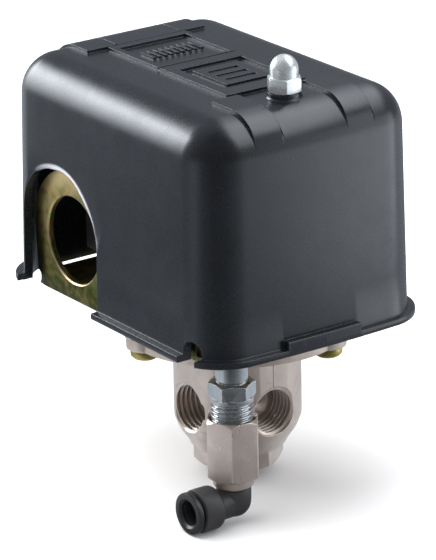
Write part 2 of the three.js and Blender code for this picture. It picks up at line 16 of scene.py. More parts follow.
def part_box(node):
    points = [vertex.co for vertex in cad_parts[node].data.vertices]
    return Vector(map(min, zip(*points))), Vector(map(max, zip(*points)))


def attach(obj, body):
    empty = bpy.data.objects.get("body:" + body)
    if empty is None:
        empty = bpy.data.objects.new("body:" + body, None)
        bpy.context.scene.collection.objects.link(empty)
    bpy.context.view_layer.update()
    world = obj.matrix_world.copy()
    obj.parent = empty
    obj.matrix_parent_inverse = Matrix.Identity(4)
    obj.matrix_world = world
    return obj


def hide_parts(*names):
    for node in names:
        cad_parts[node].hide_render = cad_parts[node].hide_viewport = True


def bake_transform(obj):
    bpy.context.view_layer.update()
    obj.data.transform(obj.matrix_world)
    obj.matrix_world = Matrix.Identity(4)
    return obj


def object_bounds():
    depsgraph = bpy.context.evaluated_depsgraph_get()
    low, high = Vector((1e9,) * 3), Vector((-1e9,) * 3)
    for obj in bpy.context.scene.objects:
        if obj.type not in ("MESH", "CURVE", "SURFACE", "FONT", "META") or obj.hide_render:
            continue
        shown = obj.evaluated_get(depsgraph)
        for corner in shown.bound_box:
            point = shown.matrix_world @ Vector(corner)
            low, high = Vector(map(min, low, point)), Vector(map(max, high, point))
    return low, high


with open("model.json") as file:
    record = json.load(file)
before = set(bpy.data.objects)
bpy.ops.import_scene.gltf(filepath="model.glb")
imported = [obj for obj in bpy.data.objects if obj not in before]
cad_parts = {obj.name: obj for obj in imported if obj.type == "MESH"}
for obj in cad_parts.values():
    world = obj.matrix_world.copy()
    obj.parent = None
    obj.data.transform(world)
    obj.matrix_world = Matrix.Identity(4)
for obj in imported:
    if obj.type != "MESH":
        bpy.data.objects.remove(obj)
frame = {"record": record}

scene = bpy.context.scene
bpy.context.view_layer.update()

# ------------------------------------------------------------------ driving dimensions (mm)
WIDTH, DEPTH, HEIGHT = 64.0, 87.0, 58.3     # cover walls in x, y and z
RIM = 2.0                                   # how far the bottom rim stands out
BOW = 1.3                                   # how far the front bulges at its middle
CORNER_RADIUS, CROWN_RADIUS = 10.3, 9.8     # in plan, and from wall to top
DRAFT = math.tan(math.radians(1.1))         # lean of the walls
WALL = 2.2
PAD_RISE = 0.8                              # pads on the crown
ARCH_Y, ARCH_Z, ARCH_RADIUS = 63.4, 17.9, 16.85     # openings in the cover sides
CONDUIT = (62.5, 14.5)                      # (y, z) of the holes in the frame ears
CONDUIT_RADIUS = 11.1

# places in plan (x, y)
MID_X = WIDTH / 2
HUB = (MID_X, 33.5)                         # manifold and diaphragm
COVER_STUD = (MID_X, 12.5)
RANGE = (MID_X, 23.5)
DIFFERENTIAL = (MID_X, 42)
UNLOADER = (12.2, 8.0)
EARTH_SCREWS = ((12, 36), (52, 36))
BLOCK_SCREWS = ((30, 66), (42, 66))
BAYS = (19, 28, 36, 45)                     # x of the four terminals
TERMINAL_Y = 67
CONTACT_Y = 56
SCREW_CIRCLE = 25.5
MANIFOLD_SCREWS = [(HUB[0] + SCREW_CIRCLE * math.cos(math.radians(a)),
                    HUB[1] + SCREW_CIRCLE * math.sin(math.radians(a))) for a in (-66, 54, 174)]

LEVER_PIVOT = (18, 9)                       # (y, z)
PORT_Z = -23.7                              # manifold side ports
ELBOW = (UNLOADER[1], -38.1)                # (y, z) of the elbow barrel
ELBOW_FACE = -1.4                           # x of the release collar's open end

cover_low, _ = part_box("cover")
ORIGIN = Vector((cover_low.x + RIM / 1000, cover_low.y + (RIM + BOW) / 1000, cover_low.z))


# ------------------------------------------------------------------ mesh helpers
def new_object(name, verts, faces):
    mesh = bpy.data.meshes.new(name)
    mesh.from_pydata([tuple(map(float, v)) for v in verts], [],
                     [tuple(int(i) for i in f) for f in faces])
    mesh.validate()
    piece = bpy.data.objects.new(name, mesh)
    scene.collection.objects.link(piece)
    bm = bmesh.new()
    bm.from_mesh(mesh)
    bmesh.ops.remove_doubles(bm, verts=bm.verts, dist=1e-5)
    bmesh.ops.recalc_face_normals(bm, faces=bm.faces)
    if bm.calc_volume(signed=True) < 0:
        bmesh.ops.reverse_faces(bm, faces=bm.faces)
    bm.to_mesh(mesh)
    bm.free()
    return piece


def side_faces(rows, n):
    """quads between successive closed rows of n points"""
    return [(j * n + i, j * n + (i + 1) % n, (j + 1) * n + (i + 1) % n, (j + 1) * n + i)
            for j in range(rows - 1) for i in range(n)]


def cap_faces(rows, n):
    return [tuple(range(n))[::-1], tuple(range((rows - 1) * n, rows * n))]


def bake(piece):
    """applies the modifiers"""
    graph = bpy.context.evaluated_depsgraph_get()
    graph.update()
    mesh = bpy.data.meshes.new_from_object(piece.evaluated_get(graph),
                                           preserve_all_data_layers=False, depsgraph=graph)
    piece.modifiers.clear()
    old = piece.data
    piece.data = mesh
    bpy.data.meshes.remove(old)
    return piece


def boolean(piece, tool, operation):
    """combines the piece with a tool, which is used up"""
    mod = piece.modifiers.new("b", "BOOLEAN")
    mod.object = tool
    mod.operation = operation
    mod.solver = "MANIFOLD"
    bake(piece)
    if len(piece.data.polygons) == 0:
        raise RuntimeError(f"empty boolean on {piece.name}")
    mesh = tool.data
    bpy.data.objects.remove(tool)
    bpy.data.meshes.remove(mesh)
    return piece


def join(piece, *tools):
    for tool in tools:
        boolean(piece, tool, "UNION")
    return piece


def cut(piece, *tools):
    for tool in tools:
        boolean(piece, tool, "DIFFERENCE")
    return piece


def common(piece, tool):
    return boolean(piece, tool, "INTERSECT")


def round_edges(piece, width, segments=2):
    """bevel modifier, for finished pieces with mixed corners"""
    mod = piece.modifiers.new("bevel", "BEVEL")
    mod.limit_method = "ANGLE"
    mod.angle_limit = math.radians(40)
    mod.width = width
    mod.segments = segments
    mod.use_clamp_overlap = True
    mod.miter_outer = "MITER_ARC"
    return bake(piece)


def bevel_edges(piece, width, segments=2, angle=25):
    """direct bevel, for simple convex blanks"""
    bm = bmesh.new()
    bm.from_mesh(piece.data)
    edges = [e for e in bm.edges
             if len(e.link_faces) == 2 and e.calc_face_angle(0) > math.radians(angle)]
    bmesh.ops.bevel(bm, geom=edges, offset=width, segments=segments, profile=0.5,
                    affect="EDGES", clamp_overlap=True)
    bm.to_mesh(piece.data)
    bm.free()
    return piece


def tidy(piece):
    """merges the slivers that booleans leave on flat faces"""
    bm = bmesh.new()
    bm.from_mesh(piece.data)
    bmesh.ops.remove_doubles(bm, verts=bm.verts, dist=0.002)
    bmesh.ops.dissolve_degenerate(bm, edges=bm.edges, dist=0.002)
    bmesh.ops.dissolve_limit(bm, angle_limit=math.radians(0.3), verts=bm.verts, edges=bm.edges)
    bm.to_mesh(piece.data)
    bm.free()
    return piece


def box(x0, y0, z0, x1, y1, z1, soft=0.0):
    verts = [(x, y, z) for x in (x0, x1) for y in (y0, y1) for z in (z0, z1)]
    faces = [(0, 1, 3, 2), (4, 6, 7, 5), (0, 4, 5, 1), (2, 3, 7, 6), (0, 2, 6, 4), (1, 5, 7, 3)]
    piece = new_object("box", verts, faces)
    return bevel_edges(piece, soft) if soft else piece


def soften(profile, radius, steps, closed=False):
    """rounds the corners of a (radius, height) profile"""
    out = []
    count = len(profile)
    for i, point in enumerate(profile):
        if not closed and i in (0, count - 1):
            out.append(point)
            continue
        corner = np.array(point, float)
        back = np.array(profile[(i - 1) % count], float) - corner
        ahead = np.array(profile[(i + 1) % count], float) - corner
        back_len, ahead_len = np.linalg.norm(back), np.linalg.norm(ahead)
        if back_len < 1e-6 or ahead_len < 1e-6:
            out.append(point)
            continue
        back, ahead = back / back_len, ahead / ahead_len
        if math.acos(max(-1, min(1, float(back @ ahead)))) > math.radians(160):
            out.append(point)
            continue
        reach = min(radius, back_len * 0.45, ahead_len * 0.45)
        start, end = corner + back * reach, corner + ahead * reach
        for k in range(steps + 1):
            q = k / steps
            out.append(tuple((1 - q) ** 2 * start + 2 * q * (1 - q) * corner + q * q * end))
    return out


def lay_along(verts, x, y, axis):
    """moves points drawn about Z to an axis through (x, y); X takes (y, z) and Y takes (x, z)"""
    p = np.array(verts, float)
    if axis == "X":
        return np.c_[p[:, 2], p[:, 0] + x, p[:, 1] + y]
    if axis == "Y":
        return np.c_[p[:, 1] + x, p[:, 2], p[:, 0] + y]
    return p + np.array([x, y, 0])


def revolve(profile, x, y, seg=72, axis="Z", closed=False):
    """turns a (radius, height) profile about the axis"""
    verts, rings = [], []
    for r, h in profile:
        if abs(r) < 1e-7:
            rings.append([len(verts)])
            verts.append((0, 0, h))
        else:
            rings.append(list(range(len(verts), len(verts) + seg)))
            for i in range(seg):
                a = 2 * math.pi * i / seg
                verts.append((r * math.cos(a), r * math.sin(a), h))
    faces = []
    pairs = list(zip(rings[:-1], rings[1:])) + ([(rings[-1], rings[0])] if closed else [])
    for low, high in pairs:
        for i in range(seg):
            j = (i + 1) % seg
            if len(low) == 1:
                faces.append((low[0], high[j], high[i]))
            elif len(high) == 1:
                faces.append((low[i], low[j], high[0]))
            else:
                faces.append((low[i], low[j], high[j], high[i]))
    return new_object("turned", lay_along(verts, x, y, axis), faces)


def turned(profile, x, y, soft, steps, seg):
    """revolve with its corners rounded"""
    return revolve(soften(profile, soft, steps), x, y, seg)


def rod(x, y, z0, z1, r0, r1=None, seg=64, axis="Z"):
    r1 = r0 if r1 is None else r1
    return revolve([(0, z0), (r0, z0), (r1, z1), (0, z1)], x, y, seg, axis)


def washer(radius, bore, z0, z1, x, y, soft, seg=64, axis="Z"):
    profile = soften([(bore, z0), (radius, z0), (radius, z1), (bore, z1)], soft, 2, closed=True)
    return revolve(profile, x, y, seg, axis, closed=True)


def prism(outline, z0, z1, axis="Z"):
    """an (x, y) outline drawn out along Z, or a (y, z) outline along X"""
    if axis == "Z":
        verts = [(p[0], p[1], z) for z in (z0, z1) for p in outline]
    else:
        verts = [(z, p[0], p[1]) for z in (z0, z1) for p in outline]
    n = len(outline)
    return new_object("prism", verts, cap_faces(2, n) + side_faces(2, n))


def hexagon(x, y, z0, z1, flats, turn):
    r = flats / math.sqrt(3)
    angles = [math.radians(-90 + turn + 60 * i) for i in range(6)]
    return prism([(x + r * math.cos(a), y + r * math.sin(a)) for a in angles], z0, z1)


def hex_nut(x, y, z0, z1, flats, turn, edge=0.07, seg=72):
    """hexagon whose corners are turned off at 30 degrees"""
    piece = hexagon(x, y, z0, z1, flats, turn)
    inner = flats / 2 * 0.97
    outer = flats / math.sqrt(3)
    drop = (outer - inner) * math.tan(math.radians(30)) + 0.032
    outer += 0.05
    common(piece, revolve([(0, z0), (inner, z0), (outer, z0 + drop), (outer, z1 - drop),
                           (inner, z1), (0, z1)], x, y, seg))
    return bevel_edges(piece, edge, 2, 28)


def arc(cx, cy, radius, start, end, steps):
    angles = [math.radians(start + (end - start) * i / steps) for i in range(steps + 1)]
    return [(cx + radius * math.cos(a), cy + radius * math.sin(a)) for a in angles]


def rounded_rectangle(x0, y0, x1, y1, r, steps):
    corners = ((x0 + r, y0 + r, 180), (x1 - r, y0 + r, 270), (x1 - r, y1 - r, 0),
               (x0 + r, y1 - r, 90))
    return [p for x, y, start in corners for p in arc(x, y, r, start, start + 90, steps)]


def thread(x, y, root, crest, pitch, z0, z1, seg=72, per=8, axis="Z", fade=0.6):
    """a rod with a helical thread: per rows to a pitch, run out over fade pitches at each end"""
    rows = int(round((z1 - z0) / pitch * per))
    verts = []
    for j in range(rows + 1):
        z = z0 + (z1 - z0) * j / rows
        depth = 1.0
        if fade:
            depth = min(1.0, (z - z0) / (pitch * fade), (z1 - z) / (pitch * fade))
        for i in range(seg):
            a = 2 * math.pi * i / seg
            f = abs((z / pitch - i / seg) % 1.0 - 0.5) * 2
            f = min(1.0, max(0.0, (f - 0.14) / 0.72))       # flats at root and crest
            f = f * f * (3 - 2 * f)
            r = root + (crest - root) * f * max(depth, 0)
            verts.append((r * math.cos(a), r * math.sin(a), z))
    faces = side_faces(rows + 1, seg)
    hub = len(verts)
    verts += [(0, 0, z0), (0, 0, z1)]
    for i in range(seg):
        k = (i + 1) % seg
        faces.append((hub, k, i))
        faces.append((hub + 1, rows * seg + i, rows * seg + k))
    return new_object("thread", lay_along(verts, x, y, axis), faces)


def wire(points, radius, seg):
    path = np.array(points, float)
    along = np.gradient(path, axis=0)
    along /= np.linalg.norm(along, axis=1)[:, None]
    side = np.cross(along[0], [0, 0, 1.0])
    side /= np.linalg.norm(side)
    verts = []
    for point, ahead in zip(path, along):
        side = side - ahead * (side @ ahead)
        side /= np.linalg.norm(side)
        across = np.cross(ahead, side)
        for k in range(seg):
            a = 2 * math.pi * k / seg
            verts.append(point + radius * (math.cos(a) * side + math.sin(a) * across))
    return new_object("wire", verts, side_faces(len(path), seg) + cap_faces(len(path), seg))


def spring(x, y, z0, z1, outer, thick, turns, per=40, seg=14):
    """a coil with its end turns closed up; outer is its radius, per the steps to a turn"""
    steps = int(turns * per)
    radius = thick / 2
    end = 0.9 / turns       # share of the path in each end turn
    rise = 0.12             # share of the height each end turn climbs
    points = []
    for i in range(steps + 1):
        t = i / steps
        if t < end:
            lead = rise * t / end
        elif t > 1 - end:
            lead = 1 - rise * (1 - t) / end
        else:
            lead = rise + 0.76 * (t - end) / (1 - 2 * end)
        a = 2 * math.pi * turns * t
        points.append((x + (outer - radius) * math.cos(a), y + (outer - radius) * math.sin(a),
                       z0 + radius + (z1 - z0 - thick) * lead))
    return wire(points, radius, seg)


def body_of(node):
    for body, nodes in frame["record"]["behaviour"]["bodies"].items():
        if node in nodes:
            return body


def place(piece, name, node, material, angle=30, ride=True):
    """sets the piece in the row frame; edges sharper than angle stay crisp"""
    piece.name = name
    piece.data.name = name
    co = np.zeros(len(piece.data.vertices) * 3, np.float32)
    piece.data.vertices.foreach_get("co", co)
    co = co.reshape(-1, 3) * 0.001 + np.array(ORIGIN, np.float32)
    piece.data.vertices.foreach_set("co", co.ravel())
    piece.data.update()
    piece.data.shade_smooth()
    piece.data.set_sharp_from_angle(angle=math.radians(angle))
    piece.data.materials.clear()
    piece.data.materials.append(material)
    if ride:
        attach(piece, body_of(node))
    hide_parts(node)
    return piece


def in_row(x, y, z):
    """a point in millimetres, set in the row frame"""
    return (ORIGIN.x + x / 1000, ORIGIN.y + y / 1000, ORIGIN.z + z / 1000)


# ------------------------------------------------------------------ node graphs
class Graph:
    """a small node tree builder; coord is the coordinate that its patterns follow"""

    def __init__(self, owner, output, coord):
        self.owner = owner
        owner.use_nodes = True
        self.tree = owner.node_tree
        self.tree.nodes.clear()
        self.out = self.add(output).inputs["Surface"]
        self.coord = self.add("ShaderNodeTexCoord").outputs[coord]

    def add(self, kind, **settings):
        node = self.tree.nodes.new(kind)
        for key, value in settings.items():
            setattr(node, key, value)
        return node

    def feed(self, socket, value):
        """links a socket, or sets a plain value"""
        if isinstance(value, bpy.types.NodeSocket):
            self.tree.links.new(value, socket)
        elif socket.type == "RGBA":
            socket.default_value = (*value, 1)
        else:
            socket.default_value = value

    def noise(self, scale, detail=4, rough=0.55, stretch=None, distortion=0.0):
        vector = self.coord
        if stretch:
            mapping = self.add("ShaderNodeMapping")
            self.feed(mapping.inputs["Vector"], vector)
            self.feed(mapping.inputs["Scale"], stretch)
            vector = mapping.outputs[0]
        node = self.add("ShaderNodeTexNoise")
        for key, value in (("Vector", vector), ("Scale", scale), ("Detail", detail),
                           ("Roughness", rough), ("Distortion", distortion)):
            self.feed(node.inputs[key], value)
        return node.outputs["Fac"]

    def ramp(self, value, stops):
        """stops are (position, colour)"""
        node = self.add("ShaderNodeValToRGB")
        self.feed(node.inputs[0], value)
        elements = node.color_ramp.elements
        while len(elements) < len(stops):
            elements.new(0.5)
        for element, (position, color) in zip(elements, stops):
            element.position = position
            element.color = (*color, 1)
        return node.outputs[0]

    def remap(self, value, source, target=(0, 1)):
        """carries the source range to the target range, clamped"""
        node = self.add("ShaderNodeMapRange")
        self.feed(node.inputs["Value"], value)
        for key, limit in zip(("From Min", "From Max", "To Min", "To Max"), (*source, *target)):
            node.inputs[key].default_value = limit
        return node.outputs[0]

    def math(self, operation, a, b=0.0):
        node = self.add("ShaderNodeMath", operation=operation)
        self.feed(node.inputs[0], a)
        self.feed(node.inputs[1], b)
        return node.outputs[0]

    def plus(self, a, b):
        return self.math("ADD", a, b)

    def minus(self, a, b):
        return self.math("SUBTRACT", a, b)

    def times(self, a, b):
        return self.math("MULTIPLY", a, b)

    def over(self, a, b):
        return self.math("DIVIDE", a, b)

    def mix(self, factor, a, b):
        node = self.add("ShaderNodeMix", data_type="RGBA")
        for key, value in ((0, factor), (6, a), (7, b)):
            self.feed(node.inputs[key], value)
        return node.outputs[2]

    def split(self, vector):
        node = self.add("ShaderNodeSeparateXYZ")
        self.feed(node.inputs[0], vector)
        return node.outputs

    def geometry(self, output):
        return self.add("ShaderNodeNewGeometry").outputs[output]

    def about_x(self, y, z, centre):
        """y and z offsets from an axis along x, and the distance to it"""
        dy = self.minus(y, centre[0])
        dz = self.minus(z, centre[1])
        return dy, dz, self.math("SQRT", self.plus(self.times(dy, dy), self.times(dz, dz)))

    def bevel(self, radius):
        node = self.add("ShaderNodeBevel")
        node.samples = 4
        node.inputs["Radius"].default_value = radius
        return node.outputs[0]

    def wear_and_highlight_edges(self, radius, scale, source, least):
        """up to 1 along edges and 0 on open faces, broken up by noise down to least"""
        dot = self.add("ShaderNodeVectorMath", operation="DOT_PRODUCT")
        self.feed(dot.inputs[0], self.bevel(radius))
        self.feed(dot.inputs[1], self.geometry("True Normal"))
        edges = self.remap(dot.outputs["Value"], (0.985, 0.86))
        return self.times(edges, self.remap(self.noise(scale, detail=3), source, (least, 1.0)))

    def roughness(self, level, scale, spread, fine, fine_spread):
        """a level that drifts with broad noise and with the fine grain"""
        broad = self.remap(self.noise(scale), (0.3, 0.7), (level - spread, level + spread))
        return self.plus(broad, self.remap(fine, (0.3, 0.7), (-fine_spread, fine_spread)))

    def bump(self, height, strength, distance, normal):
        node = self.add("ShaderNodeBump")
        for key, value in (("Height", height), ("Strength", strength), ("Distance", distance),
                           ("Normal", normal)):
            self.feed(node.inputs[key], value)
        return node.outputs[0]

    def principled(self, color, rough, **inputs):
        node = self.add("ShaderNodeBsdfPrincipled")
        self.feed(node.inputs["Base Color"], color)
        self.feed(node.inputs["Roughness"], rough)
        for key, value in inputs.items():
            self.feed(node.inputs[key.replace("_", " ")], value)
        self.feed(self.out, node.outputs[0])
        return node

    def glow(self, kind, color, strength):
        node = self.add(kind)
        self.feed(node.inputs["Color"], color)
        self.feed(node.inputs["Strength"], strength)
        return node.outputs[0]

    def show_in_reflections(self, plain, glossy):
        """glossy rays see the second shader, all others the first"""
        node = self.add("ShaderNodeMixShader")
        self.feed(node.inputs[0], self.add("ShaderNodeLightPath").outputs["Is Glossy Ray"])
        self.feed(node.inputs[1], plain)
        self.feed(node.inputs[2], glossy)
        self.feed(self.out, node.outputs[0])


def material_graph(name, coord="Object"):
    return Graph(bpy.data.materials.new(name), "ShaderNodeOutputMaterial", coord)


# ------------------------------------------------------------------ materials (lengths in metres)
GRAIN_DEPTH = 0.00003
LINE_TO_BEVEL = 1.6     # width of the pale edge line, partly wear and partly painted highlight, against the shaded bevel


def painted_arch_reflection(g, color, centre):
    """paints a pale reflection on the rolled edge of the arches, most of all at the upper front"""
    x, y, z = g.split(g.coord)
    dy, dz, radius = g.about_x(y, z, centre)
    _, normal_y, normal_z = g.split(g.geometry("Normal"))
    inward = g.over(g.plus(g.times(normal_y, dy), g.times(normal_z, dz)), g.times(radius, -1.0))
    mask = g.times(g.remap(inward, (0.04, 0.30)), g.remap(radius, (0.0168, 0.0175), (1, 0)))
    lean = g.over(g.minus(g.times(dz, 0.85), g.times(dy, 0.53)), radius)
    mask = g.times(mask, g.remap(lean, (0.30, 0.97)))
    side_walls = g.remap(g.math("ABSOLUTE", x), (0.026, 0.0275))
    # pale lavender colour of the painted reflection
    return g.mix(g.times(mask, side_walls), color, (0.72, 0.72, 0.82))


def plastic(name, dark, light, rough, grain, grain_size, edge, bevel=0.00022, rolled=None):
    """rolled is the (y, z) centre of the arches, where there are any; their rolled edge gets a
    painted reflection, and the pale lines along the edges are painted highlights
    """
    g = material_graph(name)
    fine = g.noise(1 / grain_size, detail=3, rough=0.6)
    color = g.ramp(g.noise(45, detail=3), [(0.35, dark), (0.65, light)])
    # pale lines along the edges in the edge colour: painted highlights
    wear_and_highlight_mask = g.wear_and_highlight_edges(bevel * LINE_TO_BEVEL, scale=420, source=(0.3, 0.7), least=0.45)
    color = g.mix(g.times(wear_and_highlight_mask, 0.35), color, edge)
    dust = g.remap(g.noise(2600, detail=2, rough=0.7), (0.66, 0.75), (0.0, 0.25))
    color = g.mix(dust, color, tuple(min(1, v * 2.2 + 0.01) for v in light))
    if rolled:
        color = painted_arch_reflection(g, color, rolled)
    roughness = g.roughness(rough, scale=160, spread=0.035, fine=fine, fine_spread=0.03)
    normal = g.bump(fine, grain, GRAIN_DEPTH, g.bevel(bevel))
    waves = g.noise(70, detail=2)
    normal = g.bump(waves, strength=0.12, distance=0.0002, normal=normal)
    g.principled(color, roughness, Metallic=0.0, Normal=normal)
    return g.owner


def metal(name, dark, light, rough, metallic=1.0, grain=0.15, grain_size=0.0004, bevel=0.00012,
          edge=None, wear_and_highlight_strength=0.5, dirt=0.25, dirt_color=(0.05, 0.04, 0.03), stretch=None,
          line=None, matte=0.0):
    """line is the width of the pale edge lines, partly wear and partly painted highlight, and
    matte how far they lose their metal look, so that they read as painted highlights
    """
    g = material_graph(name)
    fine = g.noise(1 / grain_size, rough=0.65, stretch=stretch)
    color = g.ramp(g.noise(120, rough=0.6), [(0.3, dark), (0.7, light)])
    spots = g.remap(g.noise(520, rough=0.7), (0.56, 0.72), (0.0, dirt))
    color = g.mix(spots, color, dirt_color)
    # pale edge lines in the edge colour: partly wear, partly painted highlight
    wear_and_highlight_mask = g.wear_and_highlight_edges(line or bevel * LINE_TO_BEVEL, scale=1200, source=(0.3, 0.65), least=0.15)
    color = g.mix(g.times(wear_and_highlight_mask, wear_and_highlight_strength), color, edge or tuple(min(1, v * 1.25) for v in light))
    roughness = g.roughness(rough, scale=300, spread=0.06, fine=fine, fine_spread=0.04)
    normal = g.bump(fine, grain, GRAIN_DEPTH, g.bevel(bevel))
    bsdf = g.principled(color, roughness, Metallic=metallic, Normal=normal)
    # matte edge lines stay pale under any light: painted highlights
    if matte:
        g.feed(bsdf.inputs["Metallic"],
               g.remap(wear_and_highlight_mask, (0.0, 1.0), (metallic, metallic * (1 - matte))))
    return g.owner


def ear_painted_shade_and_highlights(g, color, blotches, outer, y, z, hole):
    """painted shade towards the back of the ears, a painted highlight on the lower rim of the
    hole, and a paler painted highlight on top
    """
    dy, dz, radius = g.about_x(y, z, hole)
    ragged = g.plus(dy, g.times(g.minus(blotches, 0.5), 0.012))
    # near-black painted shade towards the back of the ears
    back = g.times(g.remap(ragged, (0.0116, 0.0162), (0.0, 0.90)), outer)
    color = g.mix(back, color, (0.012, 0.018, 0.010))
    lean = g.over(g.minus(g.times(dy, 0.35), g.times(dz, 0.94)), radius)
    # pale painted highlight on the lower rim of the hole
    rim = g.times(g.remap(radius, (0.01160, 0.01144)), g.remap(lean, (0.30, 0.85), (0.0, 0.9)))
    rim = g.times(rim, g.remap(radius, (0.01118, 0.01128)))
    color = g.mix(rim, color, (0.70, 0.53, 0.33))
    # paler painted highlight on top of the ears
    top = g.remap(z, (hole[1] + 0.009, hole[1] + 0.014), (0.0, 0.55))
    return g.mix(top, color, (0.80, 0.63, 0.32))


def yellow_zinc(name, hole=None):
    """blotchy chromate; hole is the (y, z) centre of the conduit holes in the frame's ears"""
    g = material_graph(name)
    blotches = g.noise(130, detail=5, rough=0.62, distortion=1.0)
    color = g.ramp(blotches, [
        (0.30, (0.10, 0.13, 0.03)), (0.40, (0.26, 0.25, 0.06)), (0.48, (0.48, 0.38, 0.12)),
        (0.56, (0.62, 0.42, 0.17)), (0.68, (0.26, 0.36, 0.15))])
    drift = g.noise(34, detail=3, rough=0.5, stretch=(1, 1, 1.6))
    color = g.mix(g.remap(drift, (0.45, 0.62), (0.0, 0.35)), color, (0.55, 0.38, 0.12))
    # darker olive towards the bottom of the outer faces
    x, y, z = g.split(g.coord)
    outer = g.remap(g.math("ABSOLUTE", x), (0.0270, 0.0276)) if hole else 0.0
    low = g.times(g.remap(z, (ORIGIN.z + 0.003, ORIGIN.z + 0.018), (0.94, 0.0)), outer)
    low_dark_olive = g.ramp(g.noise(210, rough=0.6, distortion=0.8), [
        (0.36, (0.025, 0.038, 0.004)), (0.50, (0.06, 0.075, 0.010)), (0.62, (0.20, 0.17, 0.05))])
    color = g.mix(low, color, low_dark_olive)
    streaks = g.noise(1300, detail=3, rough=0.6, stretch=(1, 1, 0.10))
    color = g.mix(g.remap(streaks, (0.56, 0.74), (0.0, 0.40)), color, (0.12, 0.11, 0.04))
    # pale cream edge lines: partly wear, partly painted highlight
    wear_and_highlight_mask = g.wear_and_highlight_edges(0.00028, scale=900, source=(0.3, 0.65), least=0.3)
    color = g.mix(g.times(wear_and_highlight_mask, 0.75), color, (0.86, 0.76, 0.58))
    # painted shade and highlights on the frame's ears
    if hole:
        color = ear_painted_shade_and_highlights(g, color, blotches, outer, y, z, hole)
    roughness = g.remap(g.noise(240), (0.3, 0.7), (0.28, 0.44))
    fine = g.noise(2400, rough=0.6)
    normal = g.bump(fine, strength=0.12, distance=GRAIN_DEPTH, normal=g.bevel(0.00015))
    g.principled(color, roughness, Metallic=0.96, Normal=normal)
    return g.owner


SATIN_BLACK = plastic(
    "satin_black_moulding", (0.0055, 0.0065, 0.0082), (0.0075, 0.0090, 0.0115), rough=0.27,
    grain=0.10, grain_size=0.00035, edge=(0.05, 0.055, 0.062),
    rolled=in_row(0, ARCH_Y, ARCH_Z)[1:])
BAKELITE = plastic(
    "moulded_block", (0.016, 0.014, 0.013), (0.026, 0.023, 0.021), rough=0.42,
    grain=0.25, grain_size=0.0004, edge=(0.08, 0.07, 0.06))
ELBOW_BLACK = plastic(
    "glass_filled_black", (0.022, 0.021, 0.021), (0.034, 0.033, 0.033), rough=0.50,
    grain=0.35, grain_size=0.00022, edge=(0.05, 0.05, 0.05), bevel=0.00015)
COLLAR_BLACK = plastic(
    "collar_black", (0.010, 0.010, 0.0105), (0.017, 0.017, 0.0175), rough=0.40,
    grain=0.30, grain_size=0.00022, edge=(0.06, 0.06, 0.06), bevel=0.00015)
RUBBER = plastic(
    "rubber_black", (0.010, 0.010, 0.010), (0.020, 0.020, 0.020), rough=0.7,
    grain=0.4, grain_size=0.0003, edge=(0.09, 0.1, 0.11))
YELLOW = yellow_zinc("yellow_chromate")
YELLOW_FRAME = yellow_zinc("yellow_chromate_frame", in_row(0, *CONDUIT)[1:])
ZINC = metal(
    "bright_zinc", (0.62, 0.65, 0.67), (0.76, 0.78, 0.80), rough=0.24, metallic=0.92,
    grain=0.12, dirt=0.12, edge=(0.9, 0.92, 0.94))
# pale matte edge lines on the valve: painted highlights
VALVE_ZINC = metal(
    "valve_zinc", (0.36, 0.375, 0.375), (0.50, 0.515, 0.515), rough=0.20, metallic=0.95,
    grain=0.03, dirt=0.04, edge=(0.92, 0.93, 0.94), wear_and_highlight_strength=0.8, bevel=0.00005, line=0.0002,
    matte=0.9)
NUT_ZINC = metal(
    "cap_nut_zinc", (0.50, 0.54, 0.54), (0.62, 0.65, 0.65), rough=0.30, metallic=0.72,
    grain=0.22, grain_size=0.0005, dirt=0.10, dirt_color=(0.25, 0.27, 0.26),
    edge=(0.92, 0.94, 0.94))
CAST_NICKEL = metal(
    "cast_nickel", (0.53, 0.44, 0.375), (0.66, 0.565, 0.49), rough=0.36, metallic=0.82,
    grain=0.35, grain_size=0.00055, dirt=0.22, dirt_color=(0.16, 0.12, 0.09),
    edge=(0.80, 0.74, 0.68))
# pale matte edge lines on the adapter: painted highlights
DRAWN_NICKEL = metal(
    "drawn_nickel", (0.57, 0.47, 0.41), (0.72, 0.61, 0.54), rough=0.32, metallic=0.86,
    grain=0.03, dirt=0.0, edge=(0.92, 0.86, 0.80), stretch=(1, 1, 0.06), line=0.0002, matte=0.7)
SPRING_WIRE = metal(
    "spring_wire", (0.28, 0.29, 0.31), (0.42, 0.43, 0.45), rough=0.28, grain=0.2, dirt=0.3)
BRASS = metal(
    "turned_brass", (0.60, 0.42, 0.16), (0.74, 0.56, 0.26), rough=0.26, metallic=0.95,
    dirt_color=(0.2, 0.12, 0.04), edge=(0.9, 0.75, 0.45))
GREEN_ZINC = metal(
    "green_zinc", (0.05, 0.25, 0.10), (0.10, 0.36, 0.16), rough=0.3, metallic=0.9,
    edge=(0.4, 0.6, 0.4))


# ------------------------------------------------------------------ cover
def cover_outline(inset):
    """plan of the walls; the straight runs are divided so that they can bow"""
    x0, y0, x1, y1 = inset, inset, WIDTH - inset, DEPTH - inset
    r = max(CORNER_RADIUS - inset, 0.3)
    front, side, corner = 30, 14, 16        # divisions
    run_x, run_y = x1 - x0 - 2 * r, y1 - y0 - 2 * r
    p = arc(x0 + r, y0 + r, r, 180, 270, corner)
    p += [(x0 + r + run_x * k / front, y0) for k in range(1, front)]
    p += arc(x1 - r, y0 + r, r, 270, 360, corner)
    p += [(x1, y0 + r + run_y * k / side) for k in range(1, side)]
    p += arc(x1 - r, y1 - r, r, 0, 90, corner)
    p += [(x1 - r - run_x * k / side, y1) for k in range(1, side)]
    p += arc(x0 + r, y1 - r, r, 90, 180, corner)
    p += [(x0, y1 - r - run_y * k / side) for k in range(1, side)]
    return p


